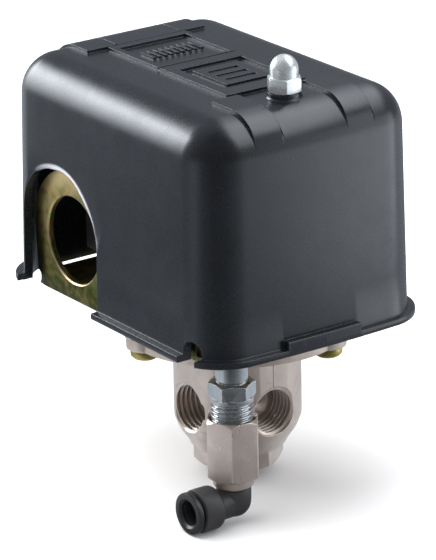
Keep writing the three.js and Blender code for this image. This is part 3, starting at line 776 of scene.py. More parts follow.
def draft_and_bow(points, z):
    """leans the plan in with height and bulges its front half forwards"""
    lean = max(z, 0) * DRAFT
    cx, cy = WIDTH / 2, DEPTH / 2
    out = []
    for x, y in points:
        across = (x - cx) / cx
        forward = min(max((cy - y) / cy, 0), 1)
        out.append((cx + (x - cx) * (1 - lean / cx),
                    cy + (y - cy) * (1 - lean / cy)
                    - BOW * max(1 - across * across, 0) * math.sqrt(forward), z))
    return out


def loft(levels):
    """a solid through (inset, z) levels of the cover plan"""
    rings = [draft_and_bow(cover_outline(inset), z) for inset, z in levels]
    count, n = len(rings), len(rings[0])
    return new_object("loft", [v for ring in rings for v in ring],
                      side_faces(count, n) + cap_faces(count, n))


def crown(inset, top, radius, lift=lambda z: 0.0, steps=16, start=0):
    """levels of the quarter round from wall to top, lifted along its normal"""
    out = []
    for k in range(start, steps + 1):
        a = math.radians(90 * k / steps)
        z = top - radius + radius * math.sin(a)
        rise = lift(z)
        out.append((inset + radius * (1 - math.cos(a)) - rise * math.cos(a),
                    z + rise * math.sin(a)))
    return out


def pad_lift(z):
    """the pads grow smoothly out of the crown"""
    t = min(max((z - 51.5) / 4.5, 0), 1)
    return PAD_RISE * t * t * (3 - 2 * t)


def mouth(mirror):
    """cutter for the arch in a side wall; its upper edge rolls inwards"""
    edge_width, jamb_depth = 0.35, 0.6
    jamb, divisions, arch_steps, roll_steps = 21.8, 8, 56, 13

    def roll(y, angle):
        """width and depth of the roll, and the outward direction in y and z"""
        if angle is None:
            return edge_width, jamb_depth, (-1.0 if y < ARCH_Y else 1.0), 0.0
        out_y, out_z = math.cos(angle), math.sin(angle)
        rear = 1.0 if out_y < 0.2 else max(0.25, 1 - (out_y - 0.2) * 1.4)
        width = edge_width + 1.9 * max(0.0, min(1.0, out_z * 1.25)) * rear
        width += 1.4 * math.exp(-((angle - 2.42) / 0.36) ** 2)      # widest at the upper front
        return width, 0.35 + 0.42 * width, out_y, out_z

    # (y, z, angle on the arch or None) up the front jamb, over the arch, down the back jamb
    rim = [(ARCH_Y - ARCH_RADIUS, -4 + jamb * k / divisions, None) for k in range(divisions)]
    for k in range(arch_steps + 1):
        a = math.pi * (1 - k / arch_steps)
        rim.append((ARCH_Y + ARCH_RADIUS * math.cos(a), ARCH_Z + ARCH_RADIUS * math.sin(a), a))
    rim += [(ARCH_Y + ARCH_RADIUS, ARCH_Z - jamb * k / divisions, None)
            for k in range(1, divisions + 1)]
    verts = []
    for j in range(-1, roll_steps + 2):
        for y, z, angle in rim:
            width, depth, out_y, out_z = roll(y, angle)
            lean = max(z, 0) * DRAFT
            if j == -1:                     # outside the wall
                x, shrink = lean - 6, 0.0
            elif j <= roll_steps:
                q = math.radians(90 * j / roll_steps)
                x, shrink = lean - 0.02 + depth * (1 - math.cos(q)), width * math.sin(q)
            else:                           # inside the cavity
                x, shrink = lean + 7, width
            verts.append((WIDTH - x if mirror else x, y - out_y * shrink, z - out_z * shrink))
    rows, n = roll_steps + 3, len(rim)
    return new_object("mouth", verts, side_faces(rows, n) + cap_faces(rows, n))


def build_cover():
    # (inset, z) of the outside, up from the bottom rim
    walls = [(-1.72, 0), (-1.92, 0.08), (-RIM, 0.28), (-RIM, 1.32), (-1.92, 1.52), (-1.72, 1.6),
             (-0.5, 1.6), (-0.15, 1.72), (0, 2.1), (0, 12), (0, 24), (0, 36)]
    shell = loft(walls + crown(0, HEIGHT, CROWN_RADIUS))
    # raised lip in the middle of the front rim
    lip = loft([(-1.75, 0), (-1.93, 0.08), (-RIM, 0.28), (-RIM, 3.35), (-1.9, 3.55),
                (-1.7, 3.62)])
    join(shell, common(lip, box(21, -8, -1, 42.5, 3, 6)))

    # pads that follow the crown: x0, y0, x1, y1
    pads = loft([(1.2, 50.0)] + crown(0, HEIGHT, CROWN_RADIUS, pad_lift, 20, start=4))
    pad_plans = ((15, -9, 22.9, 18.4), (41.5, -9, 49.4, 18.4), (20.5, 19.5, 43.5, 69.7),
                 (15, 70.2, 23.1, 96), (23.5, 70.2, 42.1, 96), (42.5, 70.2, 50, 96))
    c = 0.25                                # corner chamfer
    blanks = [prism([(x0 + c, y0), (x1 - c, y0), (x1, y0 + c), (x1, y1 - c), (x1 - c, y1),
                     (x0 + c, y1), (x0, y1 - c), (x0, y0 + c)], 47, 64)
              for x0, y0, x1, y1 in pad_plans]
    join(shell, common(pads, join(*blanks)))

    # panels and cross lines in the middle pad
    top = HEIGHT + PAD_RISE
    for x0, y0, x1, y1, depth in ((22.2, 48.9, 42.0, 67.4, 0.78), (19, 47.4, 45, 48.1, 0.55),
                                  (23.4, 24.2, 41.6, 43.4, 0.78), (19, 44.0, 45, 44.35, 0.25)):
        cut(shell, box(x0, y0, top - depth, x1, y1, top + 3))
    # two grooves that run back from the front, beside the front pads
    for x in (22.75, 49.25):
        core = loft([(0, 40)] + crown(0, HEIGHT, CROWN_RADIUS, lambda z: -0.45 * pad_lift(z), 20))
        cut(shell, cut(box(x, -9, 47, x + 0.5, 18.4, 64), core))
    # plain raised tablet with three slots, and a plain row of ribs
    tablet = box(25.4, 26.6, top - 1.6, 38.6, 40.8, top - 0.02)
    for k in range(3):
        cut(tablet, box(27.6, 29.0 + 3.6 * k, top - 0.5, 36.4, 30.6 + 3.6 * k, top + 1))
    join(shell, tablet)
    for k in range(9):
        x = 24.4 + 1.75 * k
        join(shell, box(x, 55.6, top - 1.6, x + 0.85, 61.2, top - 0.05))
    # low round seat under the cap nut
    join(shell, turned([(0, HEIGHT - 1.2), (4.45, HEIGHT - 1.2), (4.45, HEIGHT + 0.05),
                        (4.15, HEIGHT + 0.35), (4.1, HEIGHT + 1.3), (0, HEIGHT + 1.3)],
                       *COVER_STUD, soft=0.12, steps=3, seg=96))
    # cavity
    inside = crown(WALL, HEIGHT - WALL, CROWN_RADIUS - WALL, steps=12)
    cut(shell, loft([(WALL, -4), (WALL, 0.01), (WALL, 20), (WALL, 38)] + inside))
    cut(shell, rod(*COVER_STUD, 50, 66, 3.0, seg=48))
    cut(shell, mouth(False), mouth(True))
    # round-topped notch low in the left wall
    cut(shell, prism([(4.9, -4), (10.2, -4)] + arc(7.55, 2.85, 2.65, 0, 180, 20), -6, 6, "X"))
    # inside boss for the stud
    boss = rod(*COVER_STUD, HEIGHT - 8, HEIGHT - 1, 5.2, seg=48)
    return join(shell, cut(boss, rod(*COVER_STUD, 40, 66, 3.0, seg=48)))


def build_cap_nut():
    base = HEIGHT + 0.3
    nut = hex_nut(*COVER_STUD, base + 1.05, base + 4.75, 7.5, turn=31.4, edge=0.12)
    dome = [(0, base + 1.4), (3.42, base + 1.4), (3.42, base + 6.3)]
    for a in range(5, 90, 5):
        dome.append((3.42 * math.cos(math.radians(a)),
                     base + 6.3 + 3.68 * math.sin(math.radians(a))))
    dome.append((0, base + 9.98))
    join(nut, revolve(dome, *COVER_STUD))
    return cut(nut, thread(*COVER_STUD, 2.55, 2.85, pitch=0.8, z0=base - 1, z1=base + 6.6,
                           seg=48, per=6, fade=0.2))


place(build_cover(), "cover_shell", "cover", SATIN_BLACK, angle=24)
place(build_cap_nut(), "cap_nut_dome", "cover_cap_nut", NUT_ZINC, angle=35)


# ------------------------------------------------------------------ frame
def build_frame():
    x0, x1, sheet = 3.9, 60.1, 1.5
    base = prism(rounded_rectangle(x0, 3.5, x1, 82.5, 6.8, 12), -1.2, 0.3)
    # side ears with the conduit holes, as (y, z) outlines
    ear = [(10.5, -1.0), (78.2, -1.0), (77.6, 0.2), (77.5, 1.2), (78.0, 2.0), (78.8, 2.5)]
    ear += arc(CONDUIT[0], 15.3, 16.9, 0, 180, 60)
    ear += [(46.2, 8.0), (45.8, 6.6), (44.8, 5.6), (43.2, 5.0), (12.5, 5.0), (11.1, 4.4),
            (10.5, 3.0)]
    for a, b, face, out in ((x0, x0 + sheet, x0, -1), (x1 - sheet, x1, x1, 1)):
        # eases the outer rim of the hole
        chamfer = [(10.6, face + 0.5 * out), (11.5, face + 0.5 * out), (11.5, face),
                   (CONDUIT_RADIUS, face - 0.35 * out), (10.6, face - 0.35 * out)]
        join(base, cut(prism(ear, a, b, "X"),
                       rod(*CONDUIT, a - 1, b + 1, CONDUIT_RADIUS, seg=96, axis="X"),
                       revolve(chamfer, *CONDUIT, 96, "X", closed=True)))
    # round-topped lugs for the lever pivot
    lug = [(14.4, 0), (21.6, 0)] + arc(*LEVER_PIVOT, 3.6, 0, 180, 24)
    for a, b in ((15.6, 17.1), (46.9, 48.4)):
        join(base, cut(prism(lug, a, b, "X"),
                       rod(*LEVER_PIVOT, a - 1, b + 1, 1.8, seg=40, axis="X")))
    holes = [(COVER_STUD, 2.8), (HUB, 5.4), (RANGE, 3.3), (DIFFERENTIAL, 2.3), (UNLOADER, 4.3)]
    holes += [(spot, 2.0) for spot in EARTH_SCREWS] + [(spot, 1.6) for spot in BLOCK_SCREWS]
    for spot, radius in holes:
        cut(base, rod(*spot, -3, 2, radius, seg=40))
    for spot in MANIFOLD_SCREWS:
        cut(base, rod(*spot, -3, 0.35, 2.3, seg=40))
    return round_edges(base, 0.14)


def add_stud(node, spot, radius, collar, top, pitch):
    stud = thread(*spot, radius - 0.42 * pitch, radius, pitch, 2.8, top - 0.5, seg=56, per=7)
    join(stud,
         turned([(0, -1.0), (radius, -1.0), (radius, 0.6), (collar, 0.6), (collar, 2.6),
                 (radius, 3.0), (radius - 0.3, 4.2), (0, 4.2)], *spot, 0.15, 2, 56),
         revolve([(0, top - 1.2), (radius - 0.55 * pitch, top - 1.2),
                  (radius - 0.55 * pitch, top - 0.45), (radius - 0.85 * pitch, top), (0, top)],
                 *spot, 56))
    place(stud, node + "_threaded", node, ZINC, angle=40)


place(build_frame(), "base_frame_sheet", "base_frame", YELLOW_FRAME)
add_stud("cover_stud", COVER_STUD, radius=2.5, collar=4.2, top=HEIGHT + 6.2, pitch=0.8)
add_stud("range_stud", RANGE, radius=3.0, collar=4.0, top=53.4, pitch=1.0)
add_stud("differential_stud", DIFFERENTIAL, radius=2.0, collar=3.0, top=38.0, pitch=0.7)

for number, (x, y) in enumerate(EARTH_SCREWS, 1):
    screw = turned([(0, -1.0), (1.7, -1.0), (1.7, 0.6), (3.2, 0.6), (3.2, 1.7), (2.6, 2.5),
                    (0, 2.5)], x, y, soft=0.3, steps=4, seg=56)
    cut(screw, box(x - 4, y - 0.45, 1.6, x + 4, y + 0.45, 4),
        box(x - 0.45, y - 1.7, 1.7, x + 0.45, y + 1.7, 4))
    place(screw, f"earth_screw_{number}_head", f"earth_screw_{number}", GREEN_ZINC, angle=35)


# ------------------------------------------------------------------ manifold
def bowl_profile():
    """(radius, z) of the body; Catmull-Rom points fill in its rounded shoulder"""
    body = [(0, -36.2), (10.4, -36.2), (12.7, -33.8), (14.5, -31.2), (15.45, -28.8),
            (15.8, -26), (15.8, -7.4), (16.4, -6.4), (17.4, -5.9), (17.4, -4), (0, -4)]
    out = []
    for i, point in enumerate(body):
        out.append(point)
        if 1 <= i <= 4:
            pairs = list(zip(*body[i - 1:i + 3]))
            for t in (0.25, 0.5, 0.75):
                out.append(tuple(
                    0.5 * ((2 * b) + (-a + c) * t + (2 * a - 5 * b + 4 * c - d) * t * t
                           + (-a + 3 * b - 3 * c + d) * t ** 3) for a, b, c, d in pairs))
    return out


def build_manifold():
    x, y = HUB
    body = revolve(bowl_profile(), x, y, 128)
    flat = 15.25                            # half the width across the four port faces
    common(body, box(x - flat, y - flat, -60, x + flat, y + flat, 5))
    for radius, spot, seg in [(28.0, HUB, 128)] + [(4.6, s, 56) for s in MANIFOLD_SCREWS]:
        join(body, turned([(0, -6), (radius, -6), (radius, -2.6), (0, -2.6)], *spot, 0.45, 4, seg))
    hexagon_end = hexagon(x, y, -40.4, -34, 11.3 * math.sqrt(3), turn=5.7)
    common(hexagon_end, revolve([(0, -40.4), (10.0, -40.4), (11.35, -39.4), (11.35, -33),
                                 (0, -33)], x, y, 96))
    join(body, bevel_edges(hexagon_end, 0.3, 3, 30))
    # parting line of the casting
    join(body, box(x - 0.14, y - 15.38, -30, x + 0.14, y - 14, -6.2),
         box(x - 0.14, y + 14, -30, x + 0.14, y + 15.38, -6.2))
    # chamber and drillings
    ports = (("X", y, x), ("Y", x, y))      # axis, place across it, middle along it
    cut(body, rod(x, y, -4.4, 0, 19, seg=72), rod(x, y, -50, -4, 4.4, seg=48))
    for axis, across, middle in ports:
        cut(body, rod(across, PORT_Z, middle - 10, middle + 10, 4.4, seg=48, axis=axis))
    pipe = dict(root=5.55, crest=6.5, pitch=1.41, seg=80, per=9, fade=0.0)
    for axis, across, middle in ports:
        for z0, z1 in ((-16.4, -6.6), (6.6, 16.4)):
            cut(body, thread(across, PORT_Z, z0=middle + z0, z1=middle + z1, axis=axis, **pipe))
    cut(body, thread(x, y, z0=-41.5, z1=-29.6, **pipe))
    # lead-in cones at the mouths of the ports
    cone = [(0, 14.6), (5.9, 14.6), (6.95, 15.6), (6.95, 17), (0, 17)]
    for axis, across, middle in ports:
        for profile in (cone, [(r, -h) for r, h in reversed(cone)]):
            cut(body, revolve([(r, middle + h) for r, h in profile], across, PORT_Z, 80, axis))
    cut(body, revolve([(0, -42), (6.95, -42), (6.95, -40.7), (5.9, -39.7), (0, -39.7)],
                      x, y, 80))
    for spot in MANIFOLD_SCREWS:
        cut(body, rod(*spot, -8, 0, 2.3, seg=36))
    return body


def build_diaphragm():
    sheet = turned([(0, -2.3), (27.5, -2.3), (27.5, -1.5), (0, -1.5)], *HUB, 0.2, 3, 128)
    return cut(sheet, *[rod(*spot, -8, 0, 2.4, seg=36) for spot in MANIFOLD_SCREWS])


place(build_manifold(), "manifold_casting", "manifold_body", CAST_NICKEL, angle=26)

diaphragm = build_diaphragm()
for number, (x, y) in enumerate(MANIFOLD_SCREWS, 1):
    screw = turned([(0, -8.8), (2.5, -8.8), (3.6, -7.9), (3.6, -6.3), (2.0, -6.3), (2.0, 0.0),
                    (0, 0.0)], x, y, soft=0.5, steps=4, seg=56)
    cut(screw, box(x - 2.2, y - 0.4, -9.5, x + 2.2, y + 0.4, -7.6),
        box(x - 0.4, y - 2.2, -9.5, x + 0.4, y + 2.2, -7.6))
    place(screw, f"manifold_screw_{number}_head", f"manifold_screw_{number}", YELLOW, angle=35)
place(diaphragm, "diaphragm_sheet", "diaphragm", RUBBER)
place(turned([(0, -1.2), (5, -1.2), (5, 4.2), (4.4, 4.8), (2.5, 4.8), (2.5, 6.6), (2.1, 7.0),
              (0, 7.0)], *HUB, soft=0.25, steps=3, seg=64),
      "diaphragm_piston_turned", "diaphragm_piston", ZINC)


# ------------------------------------------------------------------ lever
def build_pivot_pin():
    # (radius, x)
    profile = [(0, 13.9), (2.3, 13.9), (2.3, 14.7), (1.5, 14.8), (1.5, 49.2), (1.2, 49.4),
               (0, 49.4)]
    return revolve(soften(profile, 0.12, 2), *LEVER_PIVOT, 40, "X")


def build_lever():
    z0, z1 = 7.3, 9.0
    # the plate, then the arm that reaches the unloader
    lever = join(box(20, 18, z0, 44, 52, z1), box(9.9, 24, z0, 21, 30, z1),
                 box(9.9, 5, z0, 13.3, 30, z1))
    # pivot barrels with their webs, and the side flanges
    join(lever, rod(*LEVER_PIVOT, 18, 26, 3, seg=48, axis="X"),
         rod(*LEVER_PIVOT, 38, 46, 3, seg=48, axis="X"),
         box(18, 18, z0, 26, 22, z1), box(38, 18, z0, 46, 22, z1),
         box(20, 26, 8.8, 21.4, 48, 12.0), box(42.6, 26, 8.8, 44, 48, 12.0))
    cut(lever, rod(*LEVER_PIVOT, 10, 60, 1.8, seg=40, axis="X"), rod(*RANGE, 0, 20, 4.3),
        rod(*DIFFERENTIAL, 0, 20, 3.2), box(26, 10, 5, 38, 18.6, 14))
    return round_edges(lever, 0.25, 3)


place(build_pivot_pin(), "lever_pivot_pin_turned", "lever_pivot_pin", ZINC)
place(build_lever(), "main_lever_pressed", "main_lever", YELLOW)


# ------------------------------------------------------------------ springs, seats and nuts
def add_adjusted_spring(node, spot, z0, z1, outer, thick, turns, seat):
    """cuts the coil into a lower and an upper half that meet halfway up; seat is not used"""
    x, y = spot
    middle = (z0 + z1) / 2
    halves = (("lower", "lever", z0 - 3, middle, z0), ("upper", seat, middle, z1 + 3, z1))
    for part, body, low, high, end in halves:
        coil = common(spring(x, y, z0, z1, outer, thick, turns),
                      box(x - 12, y - 12, low, x + 12, y + 12, high))
        place(coil, f"{node}_coil_{part}", node, SPRING_WIRE, ride=False)
        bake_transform(coil)


add_adjusted_spring("range_spring", RANGE, z0=9.4, z1=42.0, outer=8, thick=2.0, turns=7.5,
                    seat="range_seat")
add_adjusted_spring("differential_spring", DIFFERENTIAL, z0=9.4, z1=30.0, outer=4.6, thick=1.2,
                    turns=8, seat="differential_seat")
place(washer(8.2, 3.35, 42.3, 44.3, *RANGE, soft=0.3),
      "range_seat_dished", "range_spring_seat", ZINC)
place(washer(5.0, 2.35, 30.3, 31.7, *DIFFERENTIAL, soft=0.25),
      "differential_seat_dished", "differential_spring_seat", ZINC)
place(cut(hex_nut(*RANGE, 44.6, 49.6, flats=10, turn=8), rod(*RANGE, 40, 55, 3.3)),
      "range_nut_hexagon", "range_nut", BRASS, angle=35)
place(cut(hex_nut(*DIFFERENTIAL, 32.0, 35.2, flats=7, turn=20), rod(*DIFFERENTIAL, 28, 40, 2.3)),
      "differential_nut_hexagon", "differential_nut", BRASS, angle=35)


# ------------------------------------------------------------------ contact block
def build_block():
    block = box(14, 53, 8, 50, 72, 20.7)
    join(block, box(27, 60, 0.6, 33, 70, 8.5), box(39, 60, 0.6, 45, 70, 8.5))
    for x in (14, 22.9, 31.4, 39.9, 48.7):      # walls between the bays
        join(block, box(x, 60.5, 20, x + 1.3, 72, 27))
    for x in BAYS:
        cut(block, rod(x, TERMINAL_Y, 12, 30, 1.8, seg=32))
    for spot in BLOCK_SCREWS:
        cut(block, rod(*spot, -1, 6, 1.6, seg=32))
    return round_edges(block, 0.3)


place(build_block(), "contact_block_moulding", "contact_block", BAKELITE)
for number, (x, y) in enumerate(BLOCK_SCREWS, 1):
    screw = turned([(0, -2.9), (1.8, -2.9), (2.5, -2.3), (2.5, -1.5), (1.3, -1.5), (1.3, 5.4),
                    (0, 5.4)], x, y, soft=0.3, steps=3, seg=48)
    cut(screw, box(x - 3, 65.65, -3.5, x + 3, 66.35, -2.2))
    place(screw, f"block_screw_{number}_head", f"block_screw_{number}", ZINC, angle=35)
for number, x in enumerate(BAYS, 1):
    plate = box(x - 2.7, 53.5, 21.0, x + 2.7, 71.5, 22.0)
    join(plate, rod(x, CONTACT_Y, 21.5, 23.6, 1.9, 1.6, 36))
    cut(plate, rod(x, TERMINAL_Y, 18, 25, 1.8, seg=32))
    place(round_edges(plate, 0.15), f"terminal_plate_{number}_stamped",
          f"terminal_plate_{number}", BRASS)
    screw = turned([(0, 14), (1.5, 14), (1.5, 22.3), (2.65, 22.3), (2.65, 24.1), (2.1, 24.9),
                    (0, 24.9)], x, TERMINAL_Y, soft=0.3, steps=3, seg=48)
    cut(screw, box(x - 3, 66.6, 23.9, x + 3, 67.4, 26))
    place(screw, f"terminal_screw_{number}_head", f"terminal_screw_{number}", ZINC, angle=35)
carrier = join(box(20.5, 49, 9.3, 43.5, 52.4, 29), box(16.5, 49, 25.8, 47.5, 58.5, 29))
place(round_edges(carrier, 0.35, 3), "contact_carrier_moulding", "contact_carrier", BAKELITE)
for number, (x0, x1) in enumerate(((16.6, 30.4), (33.6, 47.4)), 1):
    bar = join(box(x0, 54, 24.4, x1, 58, 25.5, soft=0.15),
               rod(x0 + 2.4, CONTACT_Y, 23.9, 24.6, 1.6, 1.8, 32),
               rod(x1 - 2.4, CONTACT_Y, 23.9, 24.6, 1.6, 1.8, 32))
    place(bar, f"moving_contact_{number}_bar", f"moving_contact_{number}", BRASS)


# ------------------------------------------------------------------ unloader valve and adapter
def build_valve():
    valve = turned([(0, -12.6), (4.55, -12.6), (4.55, -10.9), (3.9, -10.8), (3.9, 4.0),
                    (0, 4.0)], *UNLOADER, soft=0.15, steps=3, seg=80)
    join(valve, hex_nut(*UNLOADER, -11.2, -7.0, flats=10, turn=0, edge=0.1, seg=96),
         thread(*UNLOADER, 4.62, 5.12, pitch=1.15, z0=-22, z1=-12.2, seg=144, per=14),
         turned([(0, -12.5), (4.6, -12.5), (5.2, -12.0), (5.2, -10.8), (0, -10.8)],
                *UNLOADER, 0.12, 2, 96))
    cut(valve, rod(*UNLOADER, -10, 10, 1.8, seg=32), rod(*UNLOADER, -30, -5, 2.9, seg=40))
    return tidy(valve)


def build_adapter():
    adapter = hexagon(*UNLOADER, -31.6, -16.3, 12, turn=22.9)
    common(adapter, revolve([(0, -31.6), (5.9, -31.6), (6.98, -30.6), (6.98, -17.2),
                             (5.95, -16.3), (0, -16.3)], *UNLOADER, 96))
    bevel_edges(adapter, 0.16, 3, 28)
    join(adapter, turned([(0, -33.95), (4.5, -33.95), (4.9, -33.5), (4.9, -31.0), (0, -31.0)],
                         *UNLOADER, soft=0.1, steps=2, seg=72))
    cut(adapter, rod(*UNLOADER, -23, -10, 5.4, seg=72), rod(*UNLOADER, -36, -22, 2.0, seg=32),
        rod(*UNLOADER, -36, -26, 3.2, seg=40),
        revolve([(0, -17.0), (5.35, -17.0), (5.85, -16.2), (5.85, -15), (0, -15)], *UNLOADER))
    return tidy(adapter)


def build_elbow_stem():
    stem = turned([(0, -39.6), (2.5, -39.6), (2.5, -33.9), (2.9, -33.9), (2.9, -26.4),
                   (0, -26.4)], *UNLOADER, soft=0.1, steps=2, seg=48)
    return cut(stem, rod(*UNLOADER, -41, -20, 1.4, seg=32))


place(build_valve(), "unloader_valve_turned", "unloader_valve_body", VALVE_ZINC, angle=42)
place(turned([(0, -7.4), (2.4, -7.4), (2.4, -5.9), (1.5, -5.3), (1.5, 6.7), (1.2, 7.0),
              (0, 7.0)], *UNLOADER, soft=0.15, steps=2, seg=40),
      "unloader_pin_turned", "unloader_pin", BRASS)
coil = place(spring(*UNLOADER, -21.0, -7.7, outer=2.4, thick=0.6, turns=6, per=32, seg=10),
             "unloader_spring_coil", "unloader_spring", SPRING_WIRE, ride=False)
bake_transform(coil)
place(build_adapter(), "unloader_adapter_hexagon", "unloader_adapter", DRAWN_NICKEL, angle=28)
place(build_elbow_stem(), "elbow_stem_turned", "elbow_stem", BRASS)


# ------------------------------------------------------------------ elbow
def build_elbow():
    x, z, face = UNLOADER[0], ELBOW[1], ELBOW_FACE
    # upright post on a round bottom (radius, z)
    post = [(4.2 * math.sin(math.radians(t)), z + 0.2 - 4.2 * math.cos(math.radians(t)))
            for t in range(0, 90, 9)]
    post += [(4.22, z + 0.4), (4.25, -34.7), (4.05, -34.35), (3.9, -34.3), (0, -34.3)]
    # barrel (radius, distance from the collar's open end)
    barrel = [(0, 2.4), (4.9, 2.4), (5.2, 2.48), (5.35, 2.75), (5.35, 6.6), (5.28, 7.1),
              (5.0, 7.6), (4.5, 7.95), (4.0, 8.15), (3.85, 8.5)]
    barrel = [(r, face + h) for r, h in barrel] + [(3.85, x), (0, x)]
    elbow = join(revolve(post, *UNLOADER), revolve(barrel, *ELBOW, 96, "X"))
    return cut(elbow, rod(*UNLOADER, z - 2.2, -30, 2.8, seg=40),
               rod(*ELBOW, face, face + 6.9, 4.25, seg=64, axis="X"),
               rod(*ELBOW, face, x, 2.1, seg=40, axis="X"))


def elbow_ring(radius, bore, start, end, soft, seg=48):
    """a ring in the barrel, placed from the collar's open end"""
    return washer(radius, bore, ELBOW_FACE + start, ELBOW_FACE + end, *ELBOW, soft, seg, "X")


def build_collar():
    face = ELBOW_FACE
    collar = elbow_ring(5.15, 3.1, 0, 1.5, soft=0.35, seg=96)
    cut(collar, revolve([(0, face - 1), (3.7, face - 1), (3.7, face), (3.1, face + 0.55),
                         (0, face + 0.55)], *ELBOW, 96, "X"))
    return join(collar, elbow_ring(3.9, 3.1, 1.4, 3.9, soft=0.1, seg=64))


place(build_elbow(), "elbow_body_moulding", "elbow_body", ELBOW_BLACK, angle=32)
place(build_collar(), "release_collar_ring", "release_collar", COLLAR_BLACK, angle=35)
place(elbow_ring(4.0, 3.2, 4.9, 5.2, soft=0.05), "grab_ring_steel", "grab_ring", SPRING_WIRE)
place(elbow_ring(4.0, 3.15, 5.4, 6.7, soft=0.5), "tube_seal_rubber", "tube_seal", RUBBER)


# ------------------------------------------------------------------ stage (metres)
# camera-right and towards-camera in plan
CAMERA_SIDE, CAMERA_NEAR = (0.818, -0.575), (-0.575, -0.818)
COOL = (0.89, 0.97, 1.09)


def around(azimuth, elevation, distance, base):
    """a point round base; azimuth runs from the camera's side, positive to camera-right"""
    a, e = math.radians(azimuth), math.radians(elevation)
    right, near = math.sin(a) * math.cos(e), math.cos(a) * math.cos(e)
    direction = Vector((right * CAMERA_SIDE[0] + near * CAMERA_NEAR[0],
                        right * CAMERA_SIDE[1] + near * CAMERA_NEAR[1], math.sin(e)))
    return direction * distance + Vector(base)


def azimuth_of(g, vector):
    """0..1 round the object, 0.5 towards the camera and rising to camera-right; and height"""
    x, y, z = g.split(vector)
    right = g.plus(g.times(x, CAMERA_SIDE[0]), g.times(y, CAMERA_SIDE[1]))
    near = g.plus(g.times(x, CAMERA_NEAR[0]), g.times(y, CAMERA_NEAR[1]))
    return g.plus(g.over(g.math("ARCTAN2", right, near), 2 * math.pi), 0.5), z


def levels(g, azimuth, stops):
    """brightness from (degrees of azimuth, level) stops; levels may pass 1"""
    top = max(v for _, v in stops)
    ramp = g.ramp(azimuth, [((degrees + 180) / 360, (v / top,) * 3) for degrees, v in stops])
    return g.times(ramp, top)


def flat_object(name, corners, material, uv=None):
    mesh = bpy.data.meshes.new(name)
    mesh.from_pydata([tuple(p) for p in corners], [], [(0, 1, 2, 3)])
    if uv:
        mesh.uv_layers.new(name="UVMap")
        for i, point in enumerate(uv):
            mesh.uv_layers[0].data[i].uv = point
    flat = bpy.data.objects.new(name, mesh)
    scene.collection.objects.link(flat)
    mesh.materials.append(material)
    return flat


def floor_material():
    """a pale floor whose reflection is painted by azimuth, apart near and far"""
    g = material_graph("pale_floor")
    color = g.ramp(g.noise(5, detail=3), [(0.4, (0.86, 0.865, 0.87)), (0.6, (0.88, 0.88, 0.885))])
    bsdf = g.principled(color, 0.7, Specular_IOR_Level=0.1)
    azimuth, _ = azimuth_of(g, g.coord)
    far = levels(g, azimuth, [
        (-180, 0.4), (-152, 0.6), (-126, 1.0), (-112, 0.52), (-104, 0.33), (-82, 0.35),
        (-56, 0.80), (-38, 0.22), (-14, 0.05), (8, 0.09), (30, 0.28), (50, 0.54), (78, 1.15),
        (95, 1.15), (140, 0.45), (180, 0.4)])
    near = levels(g, azimuth, [
        (-180, 0.6), (-120, 0.75), (-75, 0.8), (-48, 0.95), (-30, 0.45), (-10, 0.18),
        (15, 0.18), (35, 0.24), (50, 0.45), (75, 0.7), (110, 0.8), (180, 0.6)])
    length = g.add("ShaderNodeVectorMath", operation="LENGTH")
    g.feed(length.inputs[0], g.coord)
    distance = length.outputs["Value"]
    far = g.times(far, g.remap(distance, (0.05, 0.32), (0.35, 1.25)))
    nearness = g.remap(distance, (0.12, 0.18), (1.0, 0.0))
    level = g.plus(g.times(near, nearness), g.times(far, g.minus(1.0, nearness)))
    g.show_in_reflections(bsdf.outputs[0], g.glow("ShaderNodeEmission", COOL, level))
    return g.owner


def card_material(name, stops, strength, low, high):
    """stops are (place along the card, level); low and high are the faded shares of its height"""
    g = material_graph(name, "UV")
    along, up, _ = g.split(g.coord)
    top = max(v for _, v in stops)
    along = g.ramp(along, [(t, (v / top,) * 3) for t, v in stops])
    fade = g.times(g.remap(up, (0, low)), g.remap(up, (1 - high, 1), (1, 0)))
    level = g.times(g.times(along, fade), strength * top)
    both = g.add("ShaderNodeAddShader")
    g.feed(both.inputs[0], g.glow("ShaderNodeEmission", (0.94, 0.98, 1.04), level))
    g.feed(both.inputs[1], g.add("ShaderNodeBsdfTransparent").outputs[0])
    g.feed(g.out, both.outputs[0])
    return g.owner


def add_card(name, start, end, z0, z1, stops, strength, low, high):
    """an upright emitter seen only in reflections"""
    corners = [(start[0], start[1], z0), (end[0], end[1], z0), (end[0], end[1], z1),
               (start[0], start[1], z1)]
    card = flat_object(name, corners, card_material(name, stops, strength, low, high),
                       uv=((0, 0), (1, 0), (1, 1), (0, 1)))
    for kind in ("camera", "diffuse", "shadow", "transmission"):
        setattr(card, "visible_" + kind, False)


def add_overhead_light(centre):
    lamp = bpy.data.lights.new("overhead", "AREA")
    lamp.energy = 22.0
    lamp.color = (1, 1, 1)
    lamp.shape = "RECTANGLE"
    lamp.size = 1.5
    lamp.size_y = 1.5
    light = bpy.data.objects.new("overhead", lamp)
    scene.collection.objects.link(light)
    light.location = around(-120, 66, 1.0, centre)
    aim = Vector(centre) - light.location
    light.rotation_euler = aim.to_track_quat("-Z", "Y").to_euler()
    light.visible_camera = False
    light.visible_glossy = False


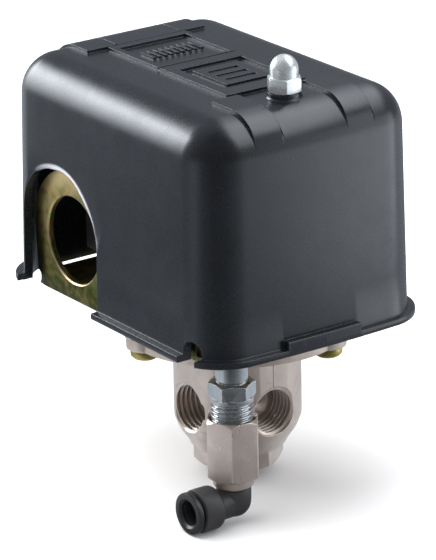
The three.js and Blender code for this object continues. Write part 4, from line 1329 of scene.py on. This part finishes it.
def build_world():
    """an even soft sky, with a darker room for reflections"""
    world = bpy.data.worlds.new("studio")
    scene.world = world
    g = Graph(world, "ShaderNodeOutputWorld", "Generated")
    azimuth, height = azimuth_of(g, g.coord)
    room = levels(g, azimuth, [
        (-180, 0.33), (-130, 0.42), (-80, 0.35), (-40, 0.10), (0, 0.06), (40, 0.12),
        (90, 0.5), (150, 0.40), (180, 0.33)])
    room = g.times(room, g.remap(height, (0.0, 1.0), (0.8, 1.3)))
    g.show_in_reflections(g.glow("ShaderNodeBackground", (0.97, 0.98, 1.0), 1.08),
                          g.glow("ShaderNodeBackground", COOL, room))


def add_camera():
    lens = bpy.data.cameras.new("camera")
    camera = bpy.data.objects.new("camera", lens)
    scene.collection.objects.link(camera)
    scene.camera = camera
    right = (0.81415, -0.58039, -0.01787)
    up = (0.21564, 0.27363, 0.93735)
    back = (-0.53914, -0.76699, 0.34792)
    pose = Matrix((right, up, back)).transposed().to_4x4()
    pose.translation = Vector((-0.4582, -0.65635, 0.32035)) + ORIGIN
    camera.matrix_world = pose
    lens.sensor_width = 36
    lens.sensor_fit = "AUTO"
    lens.lens = 238.0
    lens.clip_start = 0.01
    lens.clip_end = 50


low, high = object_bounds()
centre = (low + high) / 2
floor_z = low.z - 0.00005
flat_object("floor", [(-6, -6, floor_z), (6, -6, floor_z), (6, 6, floor_z), (-6, 6, floor_z)],
            floor_material())

crown_z = high.z - 0.012
crown_centre = (centre.x, centre.y, crown_z)
add_card("strip_back_left", around(-97, 0, 0.55, crown_centre),
         around(-146, 0, 0.55, crown_centre),
         crown_z - 0.055, crown_z + 0.55 * math.tan(math.radians(32.5)),
         [(0, 0.0), (0.08, 1.0), (0.7, 1.0), (1, 0.0)], strength=13.5, low=0.66, high=0.2)
add_card("strip_high_right", around(58, 0, 0.6, crown_centre), around(182, 0, 0.6, crown_centre),
         crown_z + 0.17, crown_z + 1.2,
         [(0, 0.3), (0.05, 1.1), (0.55, 1.0), (0.74, 0.35), (0.9, 0.12), (1, 0.0)],
         strength=3.7, low=0.14, high=0.3)
add_card("card_right", Vector((0.070, -0.136, 0)) + ORIGIN, Vector((0.260, -0.079, 0)) + ORIGIN,
         floor_z + 0.0005, floor_z + 0.16,
         [(0, 0.0), (0.12, 0.35), (0.36, 1.4), (0.55, 2.1), (1, 2.3)],
         strength=1.0, low=0.01, high=0.15)
add_overhead_light(centre)
build_world()
add_camera()
scene.view_settings.view_transform = "Standard"
